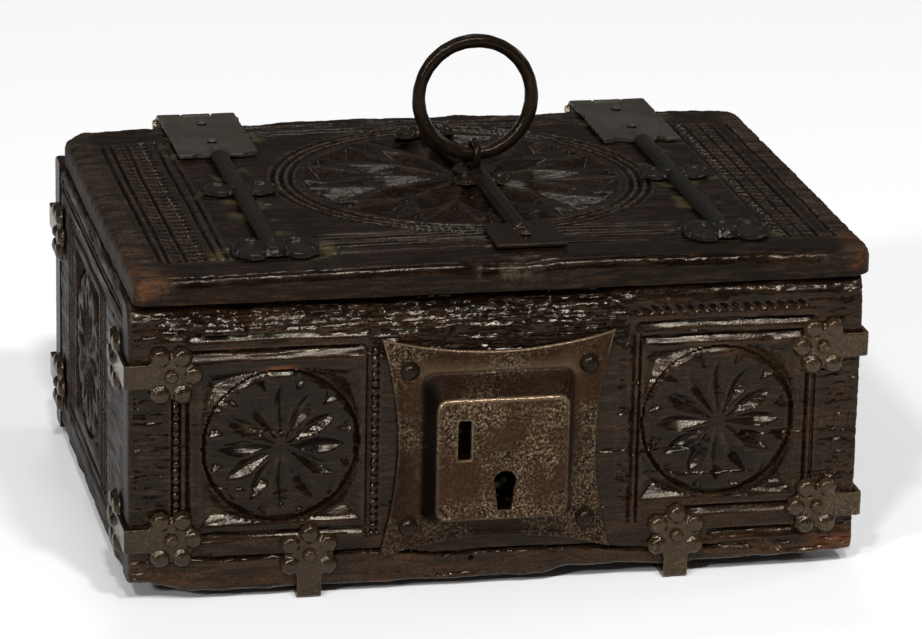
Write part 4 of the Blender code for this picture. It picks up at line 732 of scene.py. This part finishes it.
def lid_board(stuff):
    """The great rosette and its bands on a slightly crowned board, sunk where the hinge straps lie."""
    low, high, (width, span, thickness) = measured("lid_board")
    middle_u, middle_v = (low.x + high.x) / 2 / MM, (low.y + high.y) / 2 / MM
    columns = int(width / LID_STEP_X) + 1
    rows = int(span / LID_STEP_Y) + 1
    s, v = np.meshgrid(np.linspace(-1, 1, columns), np.linspace(-span / 2, span / 2, rows))
    line = s[0] * width / 2
    front = -span / 2 + 0.4 + 0.4 * wavy(line, 12, 501)
    rear = span / 2 - 1.0 - 1.0 * wavy(line, 8, 502) - 1.6 * between(line, -62, -50, 3)
    v = squeezed(v, -span / 2, span / 2, 12, front, rear)
    reach = lid_outline(v, width, span)
    u = np.where(s < 0, s * reach[-1], s * reach[1])
    depth = lid_carving(u, v)
    depth *= 1 - 0.2 * patches(u, v, 26, 18, 511, 0.0, 0.7)
    edges = ridges(depth)
    ends = np.minimum(u + reach[-1], reach[1] - u)
    depth += 0.8 * smooth(14 - ends, 0, 6) * np.clip(layered(u, v, 11, 1.9, 521, 2) + 0.2, 0, None)
    depth += 1.4 * smooth(v, 84, 94) * flaked(u, v, 14, 2.4, 531, 4)
    scraped = between(u + 6 * wavy(v, 9, 530), -12, 14, 5) * (1 - smooth(v, -94, -86))
    depth += scraped * (0.6 + 1.1 * flaked(u, v, 5, 2.0, 532, 3))
    rough = patches(u, v, 40, 20, 533, -0.3, 0.4) * smooth(ends, 14, 20)
    depth += 0.5 * rough * np.abs(layered(u, v, 5.0, 1.8, 534, 2))
    depth += grain_relief(u, v, 541) * 0.9 + cracks(u, v, 40, 551, 70, 0.8) + holes(u, v, 7, 561, 1.6)
    strap = strap_distance(u, v, middle_u, middle_v)
    seat = HINGE_SEAT - low.z / MM + 0.35 * strap
    surface = thickness - LID_CROWN * (2 * u / width) ** 2 - depth
    edge = rounding(v - front, 3.4) + rounding(rear - v, 2.6) + rounding(ends, 3.0)
    top = np.minimum(surface, seat) - edge
    face = joined(u, v, np.clip(top, 1.0, thickness))
    raw = 0.55 * smooth(-u, 112, 128) * smooth(-v, 40, 92) * patches(u, v, 14, 9, 571, -0.4, 0.4)
    raw += 0.8 * smooth(u, 118, 130) * smooth(-v, 66, 94) * patches(u, v, 12, 7, 572, -0.5, 0.4)
    wear_and_light = smooth(12 - ends, 0, 5) * 0.2 + 0.06 * patches(u, v, 30, 12, 581, 0.1, 0.7)
    # Ridges lighter as a painted highlight, hollows darker as painted shade
    wear_and_light += np.where(edges > 0, 0.42, 1.0) * edges
    wear_and_light += 0.3 * scraped * patches(u, v, 5, 3, 583, -0.2, 0.4)
    dust = 0.9 * smooth(7 - strap, 0, 6) * patches(u, v, 8, 8, 591, 0.1, 0.5)
    dull = np.maximum(0.32 * smooth(v, -93, -87), 0.95 * smooth(13 - ends, 0, 4))
    dull = np.maximum(dull, 0.7 * smooth(28 - ends, 0, 3) * smooth(v, -90, -86))
    look = joined(np.clip(wear_and_light, -1, 1), np.clip(dust, 0, 1), np.clip(raw, 0, 1), dull)
    place = stand((middle_u, middle_v, low.z / MM), (1, 0, 0), (0, 1, 0))
    slab("lid_board_carved", "lid_board", face, look, 0.0, place, stuff, LID_CREASE)


# Iron

def forged(node, build, stuff, shape=None, soot_and_shade=None):
    """A finer copy of an iron node: remeshed, softened, dented, shaped and shaded, in place of the node."""
    voxel, rounds, dent = build
    source = bpy.data.objects.new(node + "_source", frame["nodes"][node].data.copy())
    show(source)
    remesh = source.modifiers.new("remesh", "REMESH")
    remesh.mode = "VOXEL"
    remesh.voxel_size = voxel * MM
    soften = source.modifiers.new("soften", "SMOOTH")
    soften.factor = 0.5
    soften.iterations = rounds
    graph = bpy.context.evaluated_depsgraph_get()
    mesh = bpy.data.meshes.new_from_object(source.evaluated_get(graph))
    bpy.data.objects.remove(source, do_unlink=True)
    count = len(mesh.vertices)
    points = np.empty(count * 3, np.float32)
    normals = np.empty(count * 3, np.float32)
    mesh.vertices.foreach_get("co", points)
    mesh.vertex_normals.foreach_get("vector", normals)
    points = points.reshape(-1, 3).astype(float) / MM
    sink = dent * (0.5 + 0.5 * noise(points / 4.0, 700)) + 0.4 * dent * (0.5 + 0.5 * noise(points / 1.3, 701))
    points -= sink[:, None] * normals.reshape(-1, 3)
    if shape is not None:
        points = shape(points)
    mesh.vertices.foreach_set("co", (points * MM).ravel())
    # Shares of soot, and of painted shade where the function gives it
    if soot_and_shade is not None:
        paint(mesh, joined(0, soot_and_shade(points), 0, 0))
    mesh.update()
    mesh.shade_smooth()
    dress(node + "_forged", mesh, node, stuff)


def dished(points, axis, heading, base, leaf):
    """Broaden a pair of leaves and hollow out their tops so that each keeps a raised rim."""
    root, length, width, drop, rise, stretch = leaf
    for side in (-1, 1):
        turn = heading + side * LEAF_SPREAD
        centre = np.array(axis) + root * np.array((math.cos(turn), math.sin(turn)))
        away = points[:, :2] - centre
        along = away[:, 0] * math.cos(turn) + away[:, 1] * math.sin(turn)
        across = away[:, 1] * math.cos(turn) - away[:, 0] * math.sin(turn)
        reach = np.hypot(along * 2 / length, across * 2 / width)
        clear = smooth(np.hypot(*(points[:, :2] - np.array(axis)).T), 3.0, 5.0)
        raised = smooth(points[:, 2], base + 0.8, base + 2.0)
        front = smooth(-away[:, 1] / width, -0.1, 0.3)
        points[:, 2] -= drop * (1 - smooth(reach, 0.4 + 0.5 * front, 0.8 + 0.5 * front)) * clear * raised
        points[:, 2] += rise * between(reach, 0.76, 1.05, 0.12) * (1 - front) * clear * raised
    off = points[:, :2] - np.array(axis)
    near = (1 - smooth(np.abs(off[:, 1]), width * 0.75, width * 1.3)) * smooth(np.abs(off[:, 0]), 3.6, 6.0)
    points[:, 1] += off[:, 1] * (stretch - 1) * near
    return points


def hinge_shape(axis):
    """Nicked edges of the plate and hollow leaves for a hinge strap at a place across the lid."""
    def shape(points):
        off = points[:, 0] - axis
        plate = (points[:, 1] > HINGE_PLATE_FRONT - 1) & (points[:, 1] < HINGE_PLATE_BACK)
        nick = 0.15 + 1.2 * np.clip(wavy(points[:, 1], 3.0, 711 + int(axis), 2) + 0.1, 0, 1)
        reach = np.minimum(np.abs(off), HINGE_HALF - nick)
        points[:, 0] = np.where(plate, axis + np.sign(off) * reach, points[:, 0])
        jag = 5.0 * np.clip(wavy(off, 4.0, 721 + int(axis), 2) + 0.25, 0, 1)
        front = plate & (np.abs(off) > 4.6)
        points[:, 1] = np.where(front, np.maximum(points[:, 1], HINGE_PLATE_FRONT + jag), points[:, 1])
        points = dished(points, (axis, LEAF_Y), -math.pi / 2, HINGE_BASE, HINGE_LEAF)
        return dished(points, (axis, LOBE_Y), -math.pi / 2, HINGE_BASE, HINGE_LOBE)
    return shape


def dome_nail(node, stuff):
    """A nail with a high round head and a tapered shank, in place of a node."""
    low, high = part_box(node)
    middle = np.array(((low.x + high.x) / 2, 0, (low.z + high.z) / 2)) / MM
    seat, tip = low.y / MM + LOCK_NAIL_RISE, high.y / MM
    arc = np.linspace(0, np.pi / 2, 10)[1:]
    radii = np.concatenate((LOCK_NAIL_HEAD * np.sin(arc), (NAIL_SHANK, NAIL_SHANK, NAIL_SHANK / 3)))
    places = np.concatenate((seat - LOCK_NAIL_DOME * np.cos(arc), (seat, tip - 2, tip)))
    turn = np.linspace(0, 2 * np.pi, NAIL_SIDES, endpoint=False)
    flat = radii[:, None]
    rings = joined(flat * np.cos(turn), places[:, None], flat * np.sin(turn))
    ends = np.array(((0, seat - LOCK_NAIL_DOME, 0), (0, tip, 0)))
    points = np.concatenate((rings.reshape(-1, 3), ends)) + middle
    index = np.arange(rings.shape[0] * NAIL_SIDES).reshape(-1, NAIL_SIDES)
    after = np.roll(index, -1, axis=1)
    quads = quads_of(np.pad(index, ((0, 0), (0, 1)), mode="wrap").T)
    front = joined(index.size, index[0], after[0])
    rear = joined(index.size + 1, after[-1], index[-1])
    mesh = mesh_of(node, points, quads, np.concatenate((front, rear)))
    shade(mesh, LOCK_CREASE)
    dress(node + "_forged", mesh, node, stuff)


def darker_left(points):
    """The straps are darker on the left half than on the right half, and darker still, as painted shade,
    where they turn onto the left end.
    """
    left = 0.6 * (1 - smooth(points[:, 0], -60, 50)) + 0.4 * (1 - smooth(points[:, 0], -130, -126))
    return np.clip(left, 0, 0.9) * (0.7 + 0.3 * noise(points / 6.0, 702))


def stem_soot(points):
    """The stem and leaves of a hinge strap are blacker than its plate."""
    return 0.95 * (1 - smooth(points[:, 1], HINGE_PLATE_FRONT - 1, HINGE_PLATE_FRONT + 1))


def centre_shape(points):
    """Hollow leaves for the strap that carries the ring."""
    points = dished(points, (RING_EYE[0], CENTRE_LEAF_Y), -math.pi / 2, CENTRE_BASE, CENTRE_LEAF)
    return dished(points, REAR_LEAVES, math.pi / 2 + REAR_SKEW, CENTRE_BASE, REAR_LEAF)


# The lock plate, from loops of points seen from the front

def hollow_outline(inset):
    """The plate's four hollow and slightly uneven sides, drawn in by an inset."""
    share = np.linspace(-1, 1, SIDE_POINTS + 1)[:-1]
    sag = LOCK_SAG * (1 - share ** 2)
    sides = (((share, -1), (0, 1)), ((1, share), (-1, 0)), ((-share, 1), (0, -1)), ((-1, -share), (1, 0)))
    points = []
    for (across, up), (inward_u, inward_v) in sides:
        points.append(joined(across * LOCK_HALF[0] + inward_u * sag, up * LOCK_HALF[1] + inward_v * sag))
    points = np.concatenate(points) * (1 - inset / 40)
    step = np.arange(len(points), dtype=float)
    return points * (1 - 0.008 * (1 + wavy(step, 11, 731, 2)))[:, None]


def rounded_box(half, low, high, corner):
    """A rounded rectangle as a loop of points."""
    points = []
    corners = ((half, low, -90), (half, high, 0), (-half, high, 90), (-half, low, 180))
    for centre_u, centre_v, start in corners:
        mid_u = centre_u - math.copysign(corner, centre_u)
        mid_v = centre_v - math.copysign(corner, centre_v)
        for angle in np.radians(start + np.linspace(0, 90, CORNER_POINTS)):
            points.append((mid_u + corner * math.cos(angle), mid_v + corner * math.sin(angle)))
    return np.array(points)


def slot_outline(grow):
    return rounded_box(SLOT_HALF[0] + grow, -SLOT_HALF[1] - grow, SLOT_HALF[1] + grow, 0.9) + np.array(SLOT)


def keyhole(grow):
    """The keyhole's outline: a round head whose sides run down to a narrower foot."""
    head_u, head_v = KEYHOLE
    half, drop = KEYHOLE_FOOT
    radius = KEYHOLE_RADIUS + grow
    arc = np.linspace(-0.55, math.pi + 0.55, 30)
    points = [(head_u + radius * math.cos(a), head_v + radius * math.sin(a)) for a in arc]
    points += [(head_u - half - grow, head_v - drop - grow), (head_u + half + grow, head_v - drop - grow)]
    return np.array(points)


def lock_plate(stuff):
    """A hollow-sided plate with a raised case that has sloping sides, a slot and a keyhole."""
    _, high, (_, rise, _) = measured("lock_plate")
    back = high.y / MM
    bm = bmesh.new()
    wear_and_light = []

    def loop(outline, w, rubbed_and_highlit=0.0, soot_and_shade_share=0.0, lower_left_darkening=0.0, roof=0.0):
        """Points at a height over the board, rubbed and given a painted highlight near the roof, painted with
        shade that is deeper on the left, and darker towards the lower left.
        """
        for u, v in outline:
            # Painted shade, deeper on the left
            soot_and_shade = soot_and_shade_share * (0.45 + 0.55 * smooth(-u, 20, 24))
            # Darker towards the lower left
            soot_and_shade += lower_left_darkening * (0.4 + 0.6 * smooth(-v - 0.4 * u, -10, 34))
            # A painted highlight on rubbed places, strongest near the roof
            shine = rubbed_and_highlit * (0.12 + 0.88 * smooth(v, roof - 5, roof - 0.5))
            wear_and_light.append((float(shine), float(np.clip(soot_and_shade, 0, 1)), 0.0, 0.0))
        return [bm.verts.new(((u + LOCK_CENTRE[0]) * MM, (back - w) * MM, (v + LOCK_CENTRE[1]) * MM))
                for u, v in outline]

    def skin(loops):
        for outer, inner in zip(loops, loops[1:]):
            for i in range(len(outer)):
                j = (i + 1) % len(outer)
                bm.faces.new((outer[i], outer[j], inner[j], inner[i]))

    def fill(*loops):
        edges = []
        for corners in loops:
            for i in range(len(corners)):
                edges.append(bm.edges.get((corners[i], corners[(i + 1) % len(corners)])))
        bmesh.ops.triangle_fill(bm, use_beauty=True, edges=edges)

    edge = [loop(hollow_outline(inset), w, *looks, EDGE_TOP) for inset, w, *looks in EDGE_LOOPS]
    skin(edge)
    case = []
    for *box, lift, looks in FOOT_LOOPS:
        case.append(loop(rounded_box(*box), LOCK_SHEET + lift, *looks, FOOT_TOP))
    # The case's sloping sides are painted shade all over, deeper on the left
    for share in (0.25, 0.5, 0.75, 1.0):
        box = [below + (above - below) * share for below, above in zip(SLOPE_BELOW, SLOPE_ABOVE)]
        climb = LOCK_SHEET + 0.9 + (rise - LOCK_SHEET - 1.9) * share
        case.append(loop(rounded_box(*box, SLOPE_CORNER), climb, 0, 1.0))
    for *box, deep, looks in FACE_LOOPS:
        case.append(loop(rounded_box(*box), rise - deep, *looks, FACE_TOP))
    skin(case)
    fill(edge[-1], case[0])
    rims = []
    for outline in (slot_outline, keyhole):
        hole = [loop(outline(grow), rise - deep, rubbed_and_highlit) for grow, deep, rubbed_and_highlit in HOLE_STEPS]
        skin(hole)
        rims.append(hole[0])
    fill(case[-1], *rims)
    bmesh.ops.recalc_face_normals(bm, faces=bm.faces)
    mesh = bpy.data.meshes.new("lock")
    bm.to_mesh(mesh)
    bm.free()
    paint(mesh, np.array(wear_and_light))
    shade(mesh, LOCK_CREASE)
    dress("lock_plate_worn", mesh, "lock_plate", stuff)


def ring_handle(stuff):
    """A forged ring, a little uneven all round."""
    low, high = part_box("ring_handle")
    outer = (high.x - low.x) / 2 / MM
    wire = RING_WIRE
    radius = outer - wire - 0.05
    angle = np.linspace(0, 2 * np.pi, RING_POINTS, endpoint=False)[:, None]
    turn = np.linspace(0, 2 * np.pi, WIRE_POINTS, endpoint=False)[None, :]
    uneven = 1 - 0.03 * (1 + np.sin(3 * angle + 1.0)) - 0.02 * (1 + np.cos(7 * angle))
    uneven = uneven - 0.015 * (1 + np.sin(23 * angle + 2 * turn))
    reach = radius + wire * uneven * np.cos(turn)
    side = wire * uneven * np.sin(turn)
    x = reach * np.sin(angle)
    z = radius - reach * np.cos(angle)
    lean = math.radians(RING_LEAN)
    y = side * math.cos(lean) + z * math.sin(lean)
    height = z * math.cos(lean) - side * math.sin(lean)
    points = (joined(x, y, height) + RING_EYE).reshape(-1, 3)
    index = np.arange(RING_POINTS * WIRE_POINTS).reshape(RING_POINTS, WIRE_POINTS)
    quads = quads_of(np.pad(index, ((0, 1), (0, 1)), mode="wrap"))
    mesh = mesh_of("ring", points, quads, np.empty((0, 3), int))
    mesh.shade_smooth()
    dress("ring_handle_forged", mesh, "ring_handle", stuff)


# Materials

def wire(tree, made, inputs):
    """Set inputs of a node by name or number, each from a socket or a value; colours go without alpha."""
    for name, value in inputs.items():
        socket = made.inputs[name]
        if isinstance(value, bpy.types.NodeSocket):
            tree.links.new(value, socket)
        else:
            socket.default_value = (*value, 1.0) if socket.type == "RGBA" else value


def add_node(tree, kind, inputs=None, **settings):
    made = tree.nodes.new(kind)
    for name, value in settings.items():
        setattr(made, name, value)
    wire(tree, made, inputs or {})
    return made


def mixed(tree, share, first, second):
    """A colour between two others; each of the three may be a value or a socket."""
    inputs = dict(zip(MIX_INPUTS, (share, first, second)))
    return add_node(tree, "ShaderNodeMix", inputs, data_type="RGBA").outputs[MIX_RESULT]


def laid(tree, colour, pattern, low, high, most, tone):
    """A colour with a tone over it, from none where a pattern is low to the most where it is high."""
    return mixed(tree, spread(tree, pattern, low, high, 0, most), colour, tone)


def computed(tree, operation, first, second):
    """A number made from two sockets."""
    return add_node(tree, "ShaderNodeMath", {0: first, 1: second}, operation=operation).outputs[0]


def spread(tree, value, low, high, start, end):
    """Map a value from one range to another, held at both ends."""
    inputs = {"Value": value, "From Min": low, "From Max": high, "To Min": start, "To Max": end}
    return add_node(tree, "ShaderNodeMapRange", inputs).outputs["Result"]


def speckle(tree, coordinates, scale, detail, stretch=(1, 1, 1), distortion=0.0):
    """Noise by place in the row's frame; the scale is in cells to the metre."""
    mapping = add_node(tree, "ShaderNodeMapping", {"Vector": coordinates, "Scale": stretch})
    inputs = {"Vector": mapping.outputs["Vector"], "Scale": scale, "Detail": detail, "Distortion": distortion}
    return add_node(tree, "ShaderNodeTexNoise", inputs).outputs["Fac"]


def start_material(name):
    """A new material, its node tree, its shader and the socket of places in the row's frame."""
    stuff = bpy.data.materials.new(name)
    stuff.use_nodes = True
    tree = stuff.node_tree
    return stuff, tree, tree.nodes["Principled BSDF"], add_node(tree, "ShaderNodeTexCoord").outputs["Object"]


def stored_look(tree):
    """Sockets of the four stored shares of a point."""
    look = add_node(tree, "ShaderNodeAttribute", attribute_name="look")
    parts = add_node(tree, "ShaderNodeSeparateColor", {"Color": look.outputs["Color"]})
    return parts.outputs["Red"], parts.outputs["Green"], parts.outputs["Blue"], look.outputs["Alpha"]


def finish_shader(tree, shader, colour, rough, gloss, heights):
    """Feed a waxed shader, with bumps of given strength and depth in millimetres chained into it."""
    bump = {}
    for height, strength, depth in heights:
        inputs = {"Height": height, "Strength": strength, "Distance": depth * MM, **bump}
        bump = {"Normal": add_node(tree, "ShaderNodeBump", inputs).outputs["Normal"]}
    wire(tree, shader, {"Base Color": colour, "Roughness": rough, "Specular IOR Level": gloss,
                        "Specular Tint": WARM_WAX, **bump})


def carved_wood(name, grain, rough_low, rough_high, gloss, relief, rubbed_and_highlit):
    """Dark waxed wood that is rubbed and grimy, lighter on ridges as a painted highlight and darker in
    hollows as painted shade, and bare, dusty or dull where its points say so.
    """
    stuff, tree, shader, place = start_material(name)
    wear_and_light, dust, raw, dull = stored_look(tree)
    fibre = speckle(tree, place, 900, 4, grain, 0.4)
    blotch = speckle(tree, place, 38, 3, grain)
    crumb = speckle(tree, place, 1300, 3)
    streak = speckle(tree, place, 520, 4, grain, 0.8)
    grime = speckle(tree, place, 170, 6, tuple(part ** 0.5 for part in grain))
    colour = laid(tree, WOOD_DARK, blotch, 0.35, 0.68, 1, WOOD_BROWN)
    colour = laid(tree, colour, fibre, 0.45, 0.68, 0.85, WOOD_FIBRE)
    # Wear, and the painted highlight on ridges
    colour = mixed(tree, wear_and_light, colour, rubbed_and_highlit)
    colour = laid(tree, colour, streak, 0.5, 0.64, 0.75, WOOD_STREAK)
    colour = laid(tree, colour, crumb, 0.46, 0.62, 0.75, WOOD_CRUMB)
    colour = laid(tree, colour, grime, 0.46, 0.7, 0.75, WOOD_GRIME)
    # Painted shade in the hollows
    colour = laid(tree, colour, wear_and_light, 0, -1, 0.9, WOOD_HOLLOW_SHADE)
    bare = computed(tree, "MULTIPLY", raw, spread(tree, fibre, 0.38, 0.6, 0.15, 0.85))
    colour = mixed(tree, bare, colour, WOOD_BARE)
    colour = laid(tree, colour, dust, 0, 1, 0.7, WOOD_DUST)
    rough = spread(tree, speckle(tree, place, 420, 5, grain), 0.35, 0.65, rough_low, rough_high)
    rough = computed(tree, "MAXIMUM", rough, spread(tree, dull, 0, 1, 0, 0.7))
    strength = spread(tree, dull, 0, 0.5, 0.32, relief)
    finish_shader(tree, shader, colour, rough, gloss, ((fibre, strength, 0.16), (crumb, strength, 0.14)))
    return stuff


def iron(name, dark, light, rust, metal, rough_low, rough_high, gloss, speck, edges, slick):
    """Forged iron with pits, brown rust, soot with painted shade, and rubbed places, which on the lock carry
    a painted highlight.
    """
    stuff, tree, shader, place = start_material(name)
    rubbed_and_highlit, soot_and_shade_share, _, _ = stored_look(tree)
    pits = speckle(tree, place, 700, 5)
    cloud = speckle(tree, place, 120, 4)
    fine = speckle(tree, place, 1700, 3)
    glint = speckle(tree, place, 1250, 5, (1, 1, 1), 0.6)
    region = speckle(tree, place, 55, 3)
    colour = laid(tree, dark, cloud, 0.35, 0.65, 1, rust)
    colour = laid(tree, colour, pits, 0.5, 0.75, 0.4, light)
    colour = laid(tree, colour, fine, 0.5, 0.7, 0.5, dark)
    colour = laid(tree, colour, region, 0.56, 0.4, 0.7, rust)
    specks = spread(tree, glint, 0.5, 0.66, 0, speck)
    patch = computed(tree, "MULTIPLY", specks, spread(tree, region, 0.42, 0.6, 0.08, 1))
    colour = mixed(tree, patch, colour, light)
    if edges:
        point = add_node(tree, "ShaderNodeNewGeometry").outputs["Pointiness"]
        colour = laid(tree, colour, point, 0.52, 0.60, 0.8, light)
    else:
        # Rubbing lightens the colour, with a painted highlight along the lock's top edges
        colour = laid(tree, colour, rubbed_and_highlit, 0, 1, 0.8, light)
    # Soot, and painted shade where it is stored, darken the colour
    soot_and_shade = tuple(SOOT_AND_SHADE_SHARE * part for part in dark)
    colour = laid(tree, colour, soot_and_shade_share, 0, 1, 0.9, soot_and_shade)
    rough = spread(tree, cloud, 0.3, 0.7, rough_low, rough_high)
    smoother = spread(tree, soot_and_shade_share if edges else rubbed_and_highlit, 0, 1, 0, slick)
    rough = computed(tree, "SUBTRACT", rough, smoother)
    wire(tree, shader, {"Metallic": metal})
    finish_shader(tree, shader, colour, rough, gloss, ((pits, 0.4, 0.3), (fine, 0.4, 0.2)))
    return stuff


# Studio

def studio():
    """A pale floor, a row of lamps from the left to the front, weak ones behind and right, a grey room."""
    half = FLOOR_HALF
    mesh = bpy.data.meshes.new("floor")
    corners = [(-half, -half, 0), (half, -half, 0), (half, half, 0), (-half, half, 0)]
    mesh.from_pydata(corners, [], [(0, 1, 2, 3)])
    stuff, tree, shader, _ = start_material("pale_floor")
    wire(tree, shader, {"Base Color": FLOOR_COLOUR, "Roughness": 0.9, "Specular IOR Level": 0.0})
    mesh.materials.append(stuff)
    floor = bpy.data.objects.new("floor", mesh)
    show(floor)
    for settings in LAMPS:
        lamp(*settings)
    world = bpy.data.worlds.new("room")
    world.use_nodes = True
    tree = world.node_tree
    ground = add_node(tree, "ShaderNodeTexCoord").outputs["Generated"]
    split = add_node(tree, "ShaderNodeSeparateXYZ", {"Vector": ground})
    light = spread(tree, split.outputs["Z"], *ROOM_HEIGHTS, *ROOM_STRENGTHS)
    wire(tree, tree.nodes["Background"], {"Strength": light, "Color": (1, 1, 1)})
    bpy.context.scene.world = world
    bpy.context.scene.view_settings.view_transform = "Standard"


def direction(azimuth, elevation):
    """A unit vector by angles in degrees, the first from the front to the right."""
    turn, rise = math.radians(azimuth), math.radians(elevation)
    return Vector((math.sin(turn) * math.cos(rise), -math.cos(turn) * math.cos(rise), math.sin(rise)))


def lamp(name, azimuth, elevation, width, height, power):
    """A soft lamp that looks at the middle of the ground under the object."""
    place = LAMP_DISTANCE * direction(azimuth, elevation)
    data = bpy.data.lights.new(name, "AREA")
    data.shape = "RECTANGLE"
    data.size = width
    data.size_y = height
    data.energy = power
    shown = bpy.data.objects.new(name, data)
    shown.location = place
    shown.rotation_euler = (-place).to_track_quat("-Z", "Y").to_euler()
    show(shown)


def camera():
    """The photograph's viewpoint."""
    back = direction(AZIMUTH, ELEVATION)
    right = direction(AZIMUTH + 90, 0)
    up = back.cross(right)
    tilted = right * math.cos(ROLL) + up * math.sin(ROLL)
    upright = up * math.cos(ROLL) - right * math.sin(ROLL)
    data = bpy.data.cameras.new("camera")
    data.sensor_width = SENSOR
    data.lens = FOCAL_PIXELS / IMAGE_WIDTH * SENSOR
    data.clip_start = NEAREST
    shown = bpy.data.objects.new("camera", data)
    turn = Matrix((tilted, upright, back)).transposed().to_4x4()
    shown.matrix_world = Matrix.Translation((Vector(TARGET) + back * DISTANCE) * MM) @ turn
    show(shown)
    bpy.context.scene.camera = shown


def dress_all():
    """A finer piece for each node that shows, and materials for the CAD nodes."""
    woods = {name: carved_wood(name, *settings) for name, settings in WOODS.items()}
    irons = {name: iron(name, *settings) for name, settings in IRONS.items()}
    strap, black, plate = irons["strap_iron"], irons["ring_iron"], irons["hinge_iron"]
    front_board(woods["wood_along"])
    back_board(woods["wood_along"])
    lid_board(woods["wood_lid"])
    end_board("left_side_board", -1, woods["wood_across"])
    end_board("right_side_board", 1, woods["wood_across"])
    ring_handle(black)
    for name in frame["nodes"]:
        if name.startswith(("corner_strap", "bottom_strap")):
            forged(name, STRAP_BUILD, strap, None, darker_left)
        elif name.startswith("hinge_strap"):
            low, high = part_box(name)
            forged(name, HINGE_BUILD, plate, hinge_shape((low.x + high.x) / 2 / MM), stem_soot)
        elif name == "lid_centre_strap":
            forged(name, SMALL_BUILD, black, centre_shape)
        elif name == "ring_staple":
            forged(name, SMALL_BUILD, black)
        elif name.startswith("hinge_back_leaf"):
            forged(name, SMALL_BUILD, plate)
        elif name.startswith("lock_nail"):
            dome_nail(name, black)
        elif "nail" in name:
            forged(name, NAIL_BUILD, plate if name.startswith("hinge") else strap)
    lock_plate(irons["lock_iron"])
    # The lock's works take the near-black iron of painted shade
    finishes = dict.fromkeys(LOCK_WORKS_IN_SHADE, irons["lock_works_in_shade"])
    finishes.update(bottom_board=woods["wood_along"], lock_plate=irons["lock_iron"])
    for name, shown in frame["nodes"].items():
        shown.data.materials.clear()
        shown.data.materials.append(finishes.get(name, strap))


studio()
camera()
dress_all()
